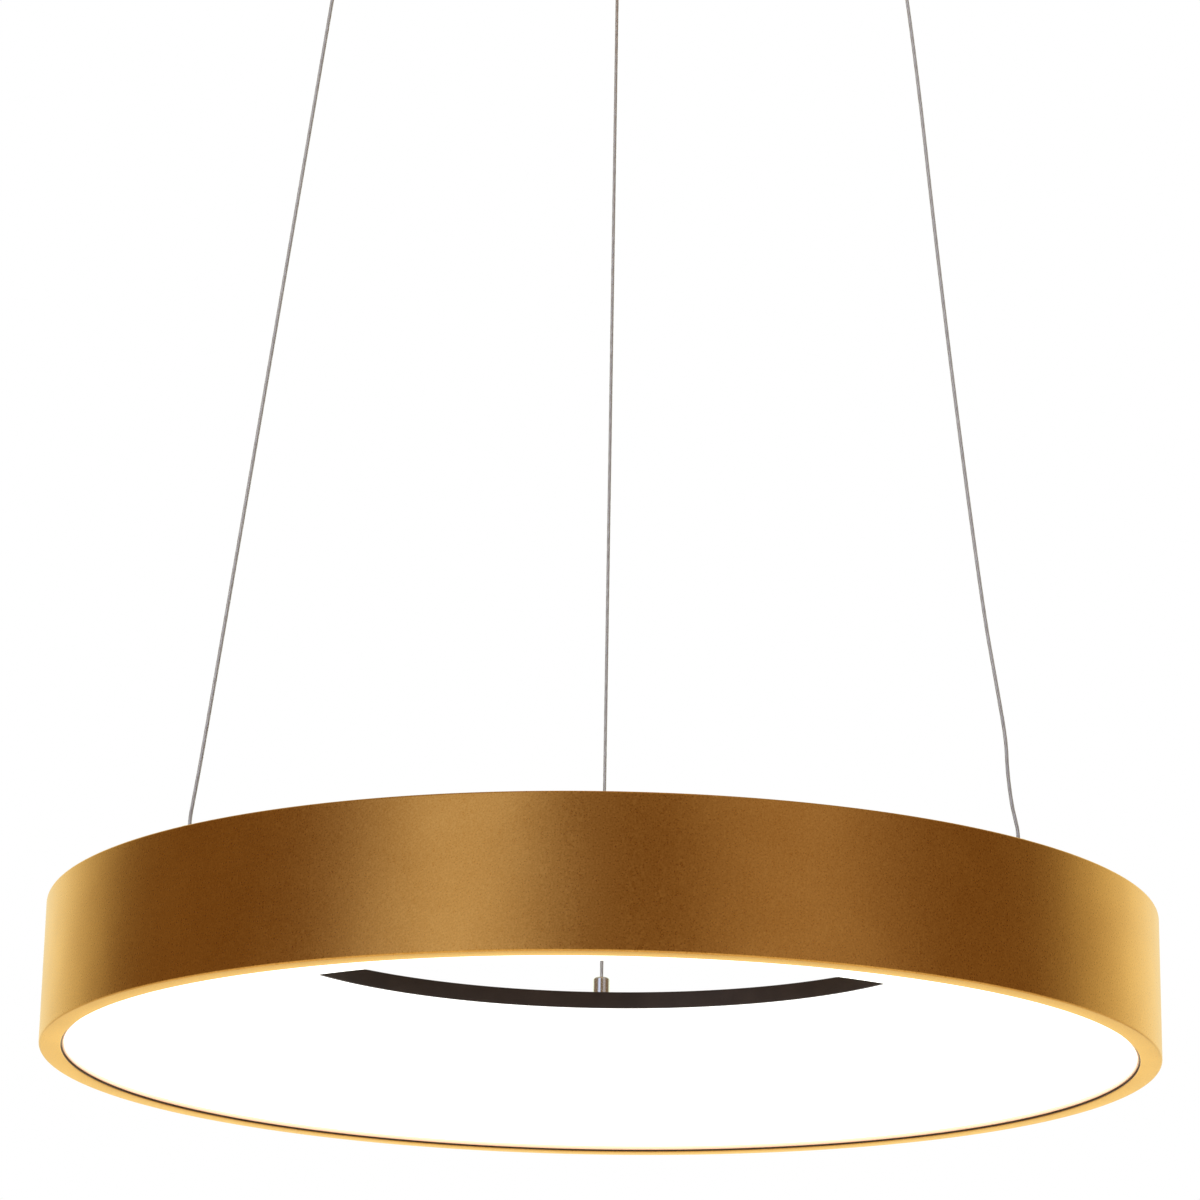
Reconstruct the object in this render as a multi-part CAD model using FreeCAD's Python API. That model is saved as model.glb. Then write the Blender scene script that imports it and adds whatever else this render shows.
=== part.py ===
import FreeCAD, Part
import math
import os

# LED ring chandelier: a gold drum ring with an opal diffuser, hung on three cables from a round canopy.
# Millimetres. The origin is the centre of the ceiling bracket's back face, +Z up, and the viewer of the
# photograph stands at -Y and below the ring.

V = FreeCAD.Vector

# Ring: gold band
RING_R = 300.0
BAND_H = 77.0
BAND_WALL = 1.5
BAND_EDGE_R = 1.0
RIM_WIDTH = 11.5
TOP_FLANGE_WIDTH = 24.0
TOP_SCREW_INSET = 19.0
DROP = 800.0

# Ring: black top plate and inner trim ring
RING_SECTION = 105.4
PLATE_T = 1.5
PLATE_SETBACK = 7.0
TRIM_T = 1.5
TRIM_DEPTH = 9.7
TRIM_LEG = 14.0
TRIM_SCREW_INSET = 4.0
TRIM_EDGE_R = 1.0
TRIM_PLAY = 0.3

# Ring: opal diffuser
OPAL_T = 2.0
GROOVE = 0.6
OPAL_RECESS = 1.3
OPAL_LIP_PLAY = 1.0
OPAL_BORDER = 1.0
OPAL_BORDER_R = 0.3
OPAL_STEP = 2.2
OPAL_FLAT = 59.9
OPAL_RISE = 5.4
OPAL_CORNER_R = 30.0
OPAL_TOP_GAP = 2.0
OPAL_TOP_STRAIGHT = 5.5
OPAL_TOP_BEND_R = 8.0
OPAL_WALL_PLAY = 1.1

# Ring: LED boards
BOARD_COUNT = 3
BOARD_T = 1.6
BOARD_WIDTH = 60.0
BOARD_INSET = 28.0
BOARD_GAP_DEG = 9.0
LED_L = 3.5
LED_W = 2.8
LED_H = 0.7
LED_ROWS = 2
LEDS_PER_ROW = 14
LED_ROW_PITCH = 32.0
BOARD_SCREWS = 6
PAD_INSET = 3.0

# Threads are plain cylinders with this clearance in their holes
THREAD_PLAY = 0.05
HOLE_PLAY = 0.25
# Cutting tools run this far past the faces that they open
OVERCUT = 1.0
HEAD_ROUNDING = 0.4
SCREW_M3_R = 1.5
SCREW_M4_R = 2.0
M3_HEAD_R = 2.8
M3_HEAD_H = 1.8
M4_HEAD_R = 3.8
M4_HEAD_H = 2.4
M4_NUT_AF = 7.0
M4_NUT_H = 3.2
DRIVE_R = 0.9
DRIVE_DEPTH = 1.2
SCREW_TIP = 1.0
TOP_SCREWS = 9
TRIM_SCREWS = 6

# Suspension points on the ring: hollow stud, washer, nut and chrome barrel
CABLE_AZIMUTHS = (90.0, 210.0, 330.0)
CABLE_INSET = 53.0
STUD_R = 4.0
STUD_BORE_R = 2.0
STUD_BELOW = 9.0
STUD_ABOVE = 10.0
STUD_WASHER_R = 8.0
STUD_WASHER_T = 1.0
STUD_NUT_AF = 13.0
STUD_NUT_H = 5.0
BARREL_R = 5.1
BARREL_H = 20.6
BARREL_CAVITY_R = 3.3
BARREL_TOP_T = 3.0
BARREL_CROWN = 1.6
FERRULE_R = 2.7
FERRULE_H = 6.5
END_PLAY = 0.3

# Cables
CABLE_R = 1.0
CABLE_HOLE_PLAY = 0.35
CABLE_LEAVES_BARREL = 4.0
CABLE_LEAVES_GRIPPER = 8.0
CABLE_SEAM = 2.0
# Free points of each cable: distance from the ring's axis and height above the rim
CABLE_POINTS = (
    [(186.0, 586.0)],
    [(240.8, 145.0), (183.6, 586.0)],
    [
        (243.4, 119.0),
        (241.3, 137.0),
        (240.9, 153.0),
        (236.5, 180.0),
        (227.9, 231.0),
        (207.1, 403.0),
        (188.8, 585.0),
    ],
)

# Canopy
CANOPY_R = 180.0
CANOPY_H = 38.0
CANOPY_WALL = 1.5
CANOPY_EDGE_R = 5.0
GRIPPER_INSET = 15.0

# Cable grippers under the canopy
GRIPPER_R = 5.5
GRIPPER_LEN = 18.0
GRIPPER_LIP = 1.5
GRIPPER_ROOF = 3.0
GRIPPER_EDGE_R = 0.8
NECK_R = 4.0
NECK_ABOVE = 6.0
GRIPPER_NUT_AF = 12.0
GRIPPER_NUT_H = 3.5
NIPPLE_R = 2.2
NIPPLE_OUT = 6.0
NIPPLE_HEAD_R = 3.0
NIPPLE_HEAD_H = 3.5
NIPPLE_PLAY = 0.05
NIPPLE_EDGE_R = 0.4
BALLS = 3
BALL_R = 0.85
BALL_PLAY = 0.05
SPRING_T = 0.8
SPRING_PLAY = 0.15
CRIMP_R = 1.9
CRIMP_H = 7.0
TAIL_ABOVE = 4.5

# Ceiling bracket and canopy screws
BRACKET_W = 30.0
BRACKET_T = 2.0
BRACKET_END_PLAY = 1.6
EAR_DROP = 20.0
EAR_W = 24.0
SIDE_SCREW_Z = -12.0
SIDE_SCREW_IN = 6.0
SIDE_HEAD_R = 5.0
SIDE_HEAD_L = 7.0
SIDE_HEAD_EDGE = 0.8
SLOT_SPACING = 90.0
SLOT_LENGTH = 20.0
SLOT_R = 2.6
ENTRY_R = 8.0
ENTRY_X = -20.0
EARTH_X = 22.0

# LED driver on the canopy floor
DRIVER_L = 140.0
DRIVER_W = 44.0
DRIVER_BASE_H = 14.0
DRIVER_LID_H = 10.0
DRIVER_WALL = 2.0
DRIVER_Y = -52.0
DRIVER_EDGE_R = 2.0
EAR_L = 14.0
EAR_T = 2.0
BOSS_R = 3.5
BOSS_H = 4.0
POST_SIDE = 5.0
POST_H = 2.0
PCB_T = 1.6
PCB_PLAY = 0.5
CORE = (14.0, 20.0, 13.0)
WINDING_R = 5.5
WINDING_OUT = 5.0
# Each capacitor: place on the board in x and y, radius, height
CAPACITORS = (
    (-42.0, 0.0, 5.0, 12.5),
    (-28.0, 6.0, 4.0, 11.0),
    (34.0, -4.0, 5.0, 12.5),
    (48.0, 5.0, 4.0, 11.0),
)
LEAD_HOLE_PLAY = 0.3
LEAD_ABOVE_BASE = 9.5
LEAD_SPREAD = 5.0
LEAD_IN = 6.0

# Terminal block on the canopy floor
BLOCK_POLES = 3
POLE_PITCH = 10.0
BLOCK_W = 18.0
BLOCK_H = 12.0
BLOCK_X = -52.0
BLOCK_Y = 24.0
WIRE_HOLE_UP = 4.8
WIRE_HOLE_R = 1.8
WIRE_HOLE_DEPTH = 6.0
WELL_R = 2.4
WELL_DEPTH = 3.0
WELL_INSET = 4.5
POLE_SCREW_R = 2.0
POLE_SCREW_H = 2.2
SCREW_SLOT_W = 0.6
SCREW_SLOT_DEPTH = 0.8

# Leads
LEAD_R = 0.9
RING_LEAD_R = 0.8
LEAD_END_IN = 5.0
# Routes of the leads in the canopy: how far they swing past what they go round
LEAD_LIFT = 3.0
SWING_OUT = 26.0
SWING_IN = 16.0
SWING_SHIFT = 4.0
BLOCK_LEAD_RUN = 14.0
BLOCK_LEAD_SIDE = 20.0
BLOCK_LEAD_BACK = 34.0
CRIMP_LEAD_UP = 11.0
CRIMP_LEAD_TURN = 6.0
CRIMP_LEAD_SIDE = 14.0
CRIMP_LEAD_BACK = 10.0
PAST_DRIVER_SIDE = 14.0
PAST_DRIVER_STATION = 60.0
EARTH_RUN = 10.0
EARTH_SIDE = 19.0
EARTH_DIP = 7.0
EARTH_APPROACH = 11.0
RING_LEAD_DIP = 8.0
RING_LEAD_SAG = 5.0
LUG_R = 4.2
LUG_T = 0.8
LUG_NECK_L = 9.0
LUG_NECK_W = 4.0
LUG_SINK = 0.2
LUG_LAP = 1.0
ARC_SHARE = 0.45

# Heights that several pieces share
RIM_Z = -DROP
BAND_TOP_Z = RIM_Z + BAND_H
PLATE_TOP_Z = BAND_TOP_Z + PLATE_T
TRIM_TOP_Z = PLATE_TOP_Z + TRIM_T
TRIM_LOW_Z = TRIM_TOP_Z - TRIM_DEPTH
BOARD_LOW_Z = BAND_TOP_Z - BOARD_T
BARREL_TOP_Z = PLATE_TOP_Z + BARREL_H
FERRULE_TOP_Z = BARREL_TOP_Z - BARREL_TOP_T - END_PLAY
FERRULE_LOW_Z = FERRULE_TOP_Z - FERRULE_H
STUD_LOW_Z = BAND_TOP_Z - STUD_BELOW
FLOOR_LOW_Z = -CANOPY_H
FLOOR_Z = FLOOR_LOW_Z + CANOPY_WALL
GRIPPER_LOW_Z = FLOOR_LOW_Z - GRIPPER_LEN
MOUTH_Z = GRIPPER_LOW_Z - NIPPLE_OUT
NECK_TOP_Z = FLOOR_Z + NECK_ABOVE
HEAD_LOW_Z = GRIPPER_LOW_Z + GRIPPER_LIP
HEAD_TOP_Z = HEAD_LOW_Z + NIPPLE_HEAD_H
CAVITY_TOP_Z = FLOOR_LOW_Z - GRIPPER_ROOF
SEAM_Z = FLOOR_LOW_Z + CABLE_SEAM
TAIL_TOP_Z = NECK_TOP_Z + TAIL_ABOVE
CRIMP_TOP_Z = TAIL_TOP_Z + CRIMP_H
DRIVER_LOW_Z = FLOOR_Z + BOSS_H
DRIVER_SPLIT_Z = DRIVER_LOW_Z + DRIVER_BASE_H
PCB_LOW_Z = DRIVER_LOW_Z + DRIVER_WALL + POST_H
LEAD_Z = DRIVER_LOW_Z + LEAD_ABOVE_BASE
BLOCK_TOP_Z = FLOOR_Z + BLOCK_H
WIRE_HOLE_Z = FLOOR_Z + WIRE_HOLE_UP

# Radii and widths that several pieces share
BAND_IN_R = RING_R - BAND_WALL
RIM_IN_R = RING_R - RIM_WIDTH
HOLE_R = RING_R - RING_SECTION
TRIM_OUT_R = HOLE_R + TRIM_T
FLANGE_IN_R = RING_R - TOP_FLANGE_WIDTH
TOP_SCREW_R = RING_R - TOP_SCREW_INSET
TRIM_SCREW_R = TRIM_OUT_R + TRIM_LEG - TRIM_SCREW_INSET
CABLE_RING_R = RING_R - CABLE_INSET
CABLE_CANOPY_R = CANOPY_R - GRIPPER_INSET
CABLE_HOLE_R = CABLE_R + CABLE_HOLE_PLAY
BOARD_OUT_R = RING_R - BOARD_INSET
BOARD_IN_R = BOARD_OUT_R - BOARD_WIDTH
BOARD_MID_R = (BOARD_OUT_R + BOARD_IN_R) / 2
BOARD_SPAN_DEG = 360.0 / BOARD_COUNT - BOARD_GAP_DEG
CANOPY_IN_R = CANOPY_R - CANOPY_WALL
NECK_HOLE_R = NECK_R + HOLE_PLAY
CAVITY_R = NIPPLE_HEAD_R + NIPPLE_PLAY
EAR_OUT_X = CANOPY_IN_R - BRACKET_END_PLAY
DRIVER_EAR_X = DRIVER_L / 2 + EAR_L / 2
BLOCK_L = BLOCK_POLES * POLE_PITCH


def polar(radius, azimuth, z):
    turn = math.radians(azimuth)
    return V(radius * math.cos(turn), radius * math.sin(turn), z)


def turned(shape, azimuth):
    copy = shape.copy()
    copy.rotate(V(0, 0, 0), V(0, 0, 1), azimuth)
    return copy


def group(shapes):
    return Part.makeCompound(list(shapes))


def post(radius, low, high, x=0.0, y=0.0):
    """A cylinder along Z from the height low to the height high."""
    return Part.makeCylinder(radius, high - low, V(x, y, low))


def sleeve(radius, bore, low, high, x=0.0, y=0.0):
    return post(radius, low, high, x, y).cut(through(bore, low, high, x, y))


def through(radius, low, high, x=0.0, y=0.0):
    """A cutting cylinder that runs past both faces of what it bores."""
    return post(radius, low - OVERCUT, high + OVERCUT, x, y)


def hexagon(corner_r, low, high, x, y):
    points = [V(x, y, low) + polar(corner_r, 60 * k, 0) for k in range(7)]
    return Part.Face(Part.makePolygon(points)).extrude(V(0, 0, high - low))


def hex_nut(across, bore, low, high, x=0.0, y=0.0):
    return hexagon(across / math.sqrt(3), low, high, x, y).cut(through(bore, low, high, x, y))


def pan_screw(head_r, head_h, shank_r, seat_z, tip_z, x=0.0, y=0.0):
    """A screw whose head sits at seat_z and whose tip is at tip_z, above or below it."""
    up = 1.0 if tip_z < seat_z else -1.0
    outer_z = seat_z + up * head_h
    head = post(head_r, min(seat_z, outer_z), max(seat_z, outer_z), x, y)
    outer = [e for e in head.Edges if abs(e.BoundBox.ZMax - outer_z) < 1e-6 and e.Closed]
    head = head.makeFillet(head_h * HEAD_ROUNDING, outer[:1])
    shank = post(shank_r, min(seat_z, tip_z), max(seat_z, tip_z), x, y)
    low, high = sorted((outer_z - up * DRIVE_DEPTH, outer_z + up * OVERCUT))
    return head.fuse(shank).removeSplitter().cut(hexagon(DRIVE_R, low, high, x, y))


def corner_arc(before, at, after, radius):
    """Start, middle and end of the arc of that radius that rounds the corner at."""
    into = (at - before).normalize()
    out = (after - at).normalize()
    half = into.getAngle(out) / 2
    reach = radius * math.tan(half)
    middle = at + (out - into).normalize() * (radius / math.cos(half) - radius)
    return at - into * reach, middle, at + out * reach


def outline(corners):
    """A closed wire in the XZ plane through corners (r, z) or (r, z, rounding radius)."""
    points = [V(c[0], 0, c[1]) for c in corners]
    radii = [c[2] if len(c) > 2 else 0.0 for c in corners]
    count = len(points)
    edges = []
    stations = []
    for k in range(count):
        if radii[k] > 0:
            stations.append(corner_arc(points[k - 1], points[k], points[(k + 1) % count], radii[k]))
        else:
            stations.append((points[k], None, points[k]))
    for k in range(count):
        start, middle, end = stations[k]
        if middle is not None:
            edges.append(Part.Arc(start, middle, end).toShape())
        following = stations[(k + 1) % count][0]
        if (following - end).Length > 1e-6:
            edges.append(Part.LineSegment(end, following).toShape())
    return Part.Wire(edges)


def revolved(corners):
    return Part.Face(outline(corners)).revolve(V(0, 0, 0), V(0, 0, 1), 360)


def moved(shape, x, y, z=0.0):
    copy = shape.copy()
    copy.translate(V(x, y, z))
    return copy


def rounded_box(length, width, height, x, y, z, radius):
    """A box centred on x, y and standing on z, with its upright edges rounded."""
    box = Part.makeBox(length, width, height, V(x - length / 2, y - width / 2, z))
    upright = [e for e in box.Edges if abs(e.BoundBox.ZLength - height) < 1e-6]
    return box.makeFillet(radius, upright)


def tube(points, radius, name):
    """A round tube along straight runs joined by tangent arcs, each as large as its two runs allow."""
    edges = []
    radii = []
    length = 0.0
    last = points[0]
    for k in range(1, len(points) - 1):
        before, at, after = points[k - 1], points[k], points[k + 1]
        half = (at - before).getAngle(after - at) / 2
        reach = ARC_SHARE * min((at - before).Length, (after - at).Length)
        bend = reach / math.tan(half)
        start, middle, end = corner_arc(before, at, after, bend)
        edges.append(Part.LineSegment(last, start).toShape())
        edges.append(Part.Arc(start, middle, end).toShape())
        radii.append(bend)
        length += (start - last).Length + bend * 2 * half
        last = end
    edges.append(Part.LineSegment(last, points[-1]).toShape())
    length += (points[-1] - last).Length
    circle = Part.Circle(points[0], points[1] - points[0], radius).toShape()
    solid = Part.Wire(edges).makePipe(Part.Face(Part.Wire(circle)))
    share = solid.Volume / (math.pi * radius**2 * length)
    print(f"{name}: length {length:.1f}, radii {[round(r, 1) for r in radii]}, volume share {share:.4f}")
    return solid


def at_cables(radius):
    """The three suspension points on a circle of that radius, as (x, y)."""
    places = [polar(radius, azimuth, 0) for azimuth in CABLE_AZIMUTHS]
    return [(p.x, p.y) for p in places]


def gold_band():
    top_z = BAND_TOP_Z
    section = [
        (RIM_IN_R, RIM_Z, BAND_EDGE_R / 2),
        (RING_R, RIM_Z, BAND_EDGE_R),
        (RING_R, top_z, BAND_EDGE_R),
        (FLANGE_IN_R, top_z),
        (FLANGE_IN_R, top_z - BAND_WALL),
        (BAND_IN_R, top_z - BAND_WALL),
        (BAND_IN_R, RIM_Z + BAND_WALL),
        (RIM_IN_R, RIM_Z + BAND_WALL, BAND_EDGE_R / 2),
    ]
    band = revolved(section)
    for azimuth in top_screw_azimuths():
        spot = polar(TOP_SCREW_R, azimuth, 0)
        band = band.cut(through(SCREW_M4_R + HOLE_PLAY, top_z - BAND_WALL, top_z, spot.x, spot.y))
    return band


def top_screw_azimuths():
    step = 360.0 / TOP_SCREWS
    return [step * (k + 0.5) for k in range(TOP_SCREWS)]


def trim_screw_azimuths():
    step = 360.0 / TRIM_SCREWS
    return [step * k for k in range(TRIM_SCREWS)]


def top_plate():
    plate = sleeve(RING_R - PLATE_SETBACK, TRIM_OUT_R + TRIM_PLAY, BAND_TOP_Z, PLATE_TOP_Z)
    low, high = BAND_TOP_Z, PLATE_TOP_Z
    holes = [through(STUD_R + HOLE_PLAY, low, high, x, y) for x, y in at_cables(CABLE_RING_R)]
    for azimuth in top_screw_azimuths():
        spot = polar(TOP_SCREW_R, azimuth, 0)
        holes.append(through(SCREW_M4_R + HOLE_PLAY, low, high, spot.x, spot.y))
    for azimuth in trim_screw_azimuths():
        spot = polar(TRIM_SCREW_R, azimuth, 0)
        holes.append(through(SCREW_M3_R + THREAD_PLAY, low, high, spot.x, spot.y))
    for azimuth in board_screw_azimuths():
        spot = polar(BOARD_MID_R, azimuth, 0)
        holes.append(through(SCREW_M3_R + THREAD_PLAY, low, high, spot.x, spot.y))
    return plate.cut(group(holes))


def inner_trim_ring():
    section = [
        (HOLE_R, TRIM_LOW_Z),
        (TRIM_OUT_R, TRIM_LOW_Z),
        (TRIM_OUT_R, PLATE_TOP_Z),
        (TRIM_OUT_R + TRIM_LEG, PLATE_TOP_Z),
        (TRIM_OUT_R + TRIM_LEG, TRIM_TOP_Z),
        (HOLE_R, TRIM_TOP_Z, TRIM_EDGE_R),
    ]
    ring = revolved(section)
    for azimuth in trim_screw_azimuths():
        spot = polar(TRIM_SCREW_R, azimuth, 0)
        ring = ring.cut(through(SCREW_M3_R + HOLE_PLAY, PLATE_TOP_Z, TRIM_TOP_Z, spot.x, spot.y))
    return ring


def diffuser():
    """A dish that turns up into a steep inner wall, with a border below it and a lip on the band's rim."""
    border_r = RIM_IN_R - GROOVE
    border_z = RIM_Z + OPAL_RECESS
    dish_r = border_r - OPAL_BORDER
    dish_z = border_z + OPAL_STEP
    corner = (dish_r - OPAL_FLAT, dish_z + OPAL_RISE)
    wall_r = TRIM_OUT_R + OPAL_WALL_PLAY
    wall_top_z = BAND_TOP_Z - OPAL_TOP_GAP
    bend_z = wall_top_z - OPAL_TOP_STRAIGHT
    slope = V(corner[0] - dish_r, 0, corner[1] - dish_z).normalize()
    wall = V(wall_r - corner[0], 0, bend_z - corner[1]).normalize()
    dish_in = V(slope.z, 0, -slope.x) * OPAL_T
    wall_in = V(wall.z, 0, -wall.x) * OPAL_T
    shift = (1 - (slope.x * wall.x + slope.z * wall.z)) / (slope.x * wall.z - slope.z * wall.x)
    inner_corner = V(corner[0], 0, corner[1]) + dish_in - slope * OPAL_T * abs(shift)
    bend_shift = (1 - wall.z) / abs(wall.x)
    inner_bend = V(wall_r, 0, bend_z) + wall_in - wall * OPAL_T * bend_shift
    edge_z = dish_z + (OPAL_T - OPAL_BORDER * slope.z) / abs(slope.x)
    section = [
        (border_r, border_z, OPAL_BORDER_R),
        (border_r, edge_z),
        (inner_corner.x, inner_corner.z, OPAL_CORNER_R - OPAL_T),
        (inner_bend.x, inner_bend.z, OPAL_TOP_BEND_R + OPAL_T),
        (wall_r + OPAL_T, wall_top_z),
        (wall_r, wall_top_z),
        (wall_r, bend_z, OPAL_TOP_BEND_R),
        (corner[0], corner[1], OPAL_CORNER_R),
        (dish_r, dish_z),
        (dish_r, border_z, OPAL_BORDER_R),
    ]
    lip_low = RIM_Z + BAND_WALL
    lip = sleeve(BAND_IN_R - OPAL_LIP_PLAY, border_r - OPAL_BORDER / 2, lip_low, lip_low + OPAL_T)
    return revolved(section).fuse(lip)


def board_centre_azimuths():
    """The boards lie between the suspension points."""
    return [azimuth + 180.0 / BOARD_COUNT for azimuth in CABLE_AZIMUTHS]


def board_screw_azimuths():
    step = BOARD_SPAN_DEG / BOARD_SCREWS
    return [
        centre - BOARD_SPAN_DEG / 2 + step * (k + 0.5)
        for centre in board_centre_azimuths()
        for k in range(BOARD_SCREWS)
    ]


def led_board(centre):
    """A strip of a flat ring, BOARD_SPAN_DEG long, under the top plate."""
    start = centre - BOARD_SPAN_DEG / 2
    corners = [
        (BOARD_IN_R, BOARD_LOW_Z),
        (BOARD_OUT_R, BOARD_LOW_Z),
        (BOARD_OUT_R, BAND_TOP_Z),
        (BOARD_IN_R, BAND_TOP_Z),
    ]
    sector = Part.Face(outline(corners)).revolve(V(0, 0, 0), V(0, 0, 1), BOARD_SPAN_DEG)
    board = turned(sector, start)
    for azimuth in board_screw_azimuths():
        if abs(azimuth - centre) < BOARD_SPAN_DEG / 2:
            spot = polar(BOARD_MID_R, azimuth, 0)
            board = board.cut(through(SCREW_M3_R + HOLE_PLAY, BOARD_LOW_Z, BAND_TOP_Z, spot.x, spot.y))
    return board


def board_leds(centre):
    step = BOARD_SPAN_DEG / LEDS_PER_ROW
    chips = []
    for row in range(LED_ROWS):
        radius = BOARD_MID_R + (row - (LED_ROWS - 1) / 2) * LED_ROW_PITCH
        for k in range(LEDS_PER_ROW):
            chip = Part.makeBox(LED_W, LED_L, LED_H, V(radius - LED_W / 2, -LED_L / 2, BOARD_LOW_Z - LED_H))
            chips.append(turned(chip, centre - BOARD_SPAN_DEG / 2 + step * (k + 0.5)))
    return group(chips)


def board_screws():
    places = [polar(BOARD_MID_R, azimuth, 0) for azimuth in board_screw_azimuths()]
    return group(
        pan_screw(M3_HEAD_R, M3_HEAD_H, SCREW_M3_R, BOARD_LOW_Z, PLATE_TOP_Z, p.x, p.y) for p in places
    )


def top_screws():
    places = [polar(TOP_SCREW_R, azimuth, 0) for azimuth in top_screw_azimuths()]
    tip = BAND_TOP_Z - BAND_WALL - M4_NUT_H - SCREW_TIP
    return group(pan_screw(M4_HEAD_R, M4_HEAD_H, SCREW_M4_R, PLATE_TOP_Z, tip, p.x, p.y) for p in places)


def weld_nuts():
    places = [polar(TOP_SCREW_R, azimuth, 0) for azimuth in top_screw_azimuths()]
    high = BAND_TOP_Z - BAND_WALL
    bore = SCREW_M4_R + THREAD_PLAY
    return group(hex_nut(M4_NUT_AF, bore, high - M4_NUT_H, high, p.x, p.y) for p in places)


def trim_screws():
    places = [polar(TRIM_SCREW_R, azimuth, 0) for azimuth in trim_screw_azimuths()]
    return group(
        pan_screw(M3_HEAD_R, M3_HEAD_H, SCREW_M3_R, TRIM_TOP_Z, BAND_TOP_Z, p.x, p.y) for p in places
    )


def hollow_studs():
    top_z = PLATE_TOP_Z + STUD_ABOVE
    return group(sleeve(STUD_R, STUD_BORE_R, STUD_LOW_Z, top_z, x, y) for x, y in at_cables(CABLE_RING_R))


def stud_washers():
    low = BAND_TOP_Z - STUD_WASHER_T
    return group(
        sleeve(STUD_WASHER_R, STUD_R + HOLE_PLAY, low, BAND_TOP_Z, x, y) for x, y in at_cables(CABLE_RING_R)
    )


def stud_nuts():
    high = BAND_TOP_Z - STUD_WASHER_T
    return group(
        hex_nut(STUD_NUT_AF, STUD_R + THREAD_PLAY, high - STUD_NUT_H, high, x, y)
        for x, y in at_cables(CABLE_RING_R)
    )


def cable_barrel(x, y):
    """A chrome cap that screws onto the stud and traps the ferrule on the cable's end."""
    thread_r = STUD_R + THREAD_PLAY
    thread_top = PLATE_TOP_Z + STUD_ABOVE + END_PLAY
    cavity_top = BARREL_TOP_Z - BARREL_TOP_T
    section = [
        (thread_r, PLATE_TOP_Z),
        (BARREL_R, PLATE_TOP_Z),
        (BARREL_R, BARREL_TOP_Z, BARREL_CROWN),
        (CABLE_HOLE_R, BARREL_TOP_Z),
        (CABLE_HOLE_R, cavity_top),
        (BARREL_CAVITY_R, cavity_top),
        (BARREL_CAVITY_R, thread_top),
        (thread_r, thread_top),
    ]
    return moved(revolved(section), x, y)


def cable_ferrules():
    return group(post(FERRULE_R, FERRULE_LOW_Z, FERRULE_TOP_Z, x, y) for x, y in at_cables(CABLE_RING_R))


def cable(number):
    """From the ferrule in the barrel up to the seam with the tail inside the gripper's neck."""
    azimuth = CABLE_AZIMUTHS[number]
    points = [
        polar(CABLE_RING_R, azimuth, FERRULE_TOP_Z),
        polar(CABLE_RING_R, azimuth, BARREL_TOP_Z + CABLE_LEAVES_BARREL),
    ]
    points += [polar(radius, azimuth, RIM_Z + height) for radius, height in CABLE_POINTS[number]]
    points += [
        polar(CABLE_CANOPY_R, azimuth, MOUTH_Z - CABLE_LEAVES_GRIPPER),
        polar(CABLE_CANOPY_R, azimuth, SEAM_Z),
    ]
    return tube(points, CABLE_R, f"cable_{number + 1}")


def beside(azimuth, radius, along, z):
    """A point at that radius, moved sideways by along, square to the azimuth."""
    turn = math.radians(azimuth)
    return polar(radius, azimuth, z) + V(-math.sin(turn), math.cos(turn), 0) * along


def feed_lead(number, name):
    """From the ferrule down through the hollow stud and sideways to the next board's end."""
    azimuth = CABLE_AZIMUTHS[number]
    pad = board_end_reach(CABLE_RING_R)
    low = STUD_LOW_Z - RING_LEAD_DIP
    points = [
        beside(azimuth, CABLE_RING_R, 0, FERRULE_LOW_Z),
        beside(azimuth, CABLE_RING_R, 0, low),
        beside(azimuth, CABLE_RING_R, pad / 2, low - RING_LEAD_SAG),
        beside(azimuth, CABLE_RING_R, pad, low + RING_LEAD_SAG),
        beside(azimuth, CABLE_RING_R, pad, BOARD_LOW_Z),
    ]
    return tube(points, RING_LEAD_R, name)


def board_end_reach(radius):
    """How far beside a suspension point the solder pad of the next board lies."""
    return radius * math.tan(math.radians(BOARD_GAP_DEG / 2)) + PAD_INSET


def jumper_leads():
    leads = []
    for number, azimuth in enumerate(CABLE_AZIMUTHS):
        for side in (-1, 1):
            radius = BOARD_MID_R + side * LED_ROW_PITCH / 2
            pad = board_end_reach(radius)
            dip = BOARD_LOW_Z - RING_LEAD_DIP
            points = [
                beside(azimuth, radius, -pad, BOARD_LOW_Z),
                beside(azimuth, radius, -pad, dip),
                beside(azimuth, radius, 0, dip - RING_LEAD_SAG),
                beside(azimuth, radius, pad, dip),
                beside(azimuth, radius, pad, BOARD_LOW_Z),
            ]
            leads.append(tube(points, RING_LEAD_R, f"jumper {number + 1} {side}"))
    return group(leads)


def gripper_body(x, y):
    """A turned body under the canopy floor with a threaded neck through it."""
    section = [
        (CABLE_HOLE_R, NECK_TOP_Z),
        (NECK_R, NECK_TOP_Z),
        (NECK_R, FLOOR_LOW_Z),
        (GRIPPER_R, FLOOR_LOW_Z),
        (GRIPPER_R, GRIPPER_LOW_Z, GRIPPER_EDGE_R),
        (NIPPLE_R + NIPPLE_PLAY, GRIPPER_LOW_Z),
        (NIPPLE_R + NIPPLE_PLAY, HEAD_LOW_Z - NIPPLE_PLAY),
        (CAVITY_R, HEAD_LOW_Z - NIPPLE_PLAY),
        (CAVITY_R, CAVITY_TOP_Z),
        (CABLE_HOLE_R, CAVITY_TOP_Z),
    ]
    return moved(revolved(section), x, y)


def gripper_nuts():
    return group(
        hex_nut(GRIPPER_NUT_AF, NECK_R + THREAD_PLAY, FLOOR_Z, FLOOR_Z + GRIPPER_NUT_H, x, y)
        for x, y in at_cables(CABLE_CANOPY_R)
    )


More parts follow.
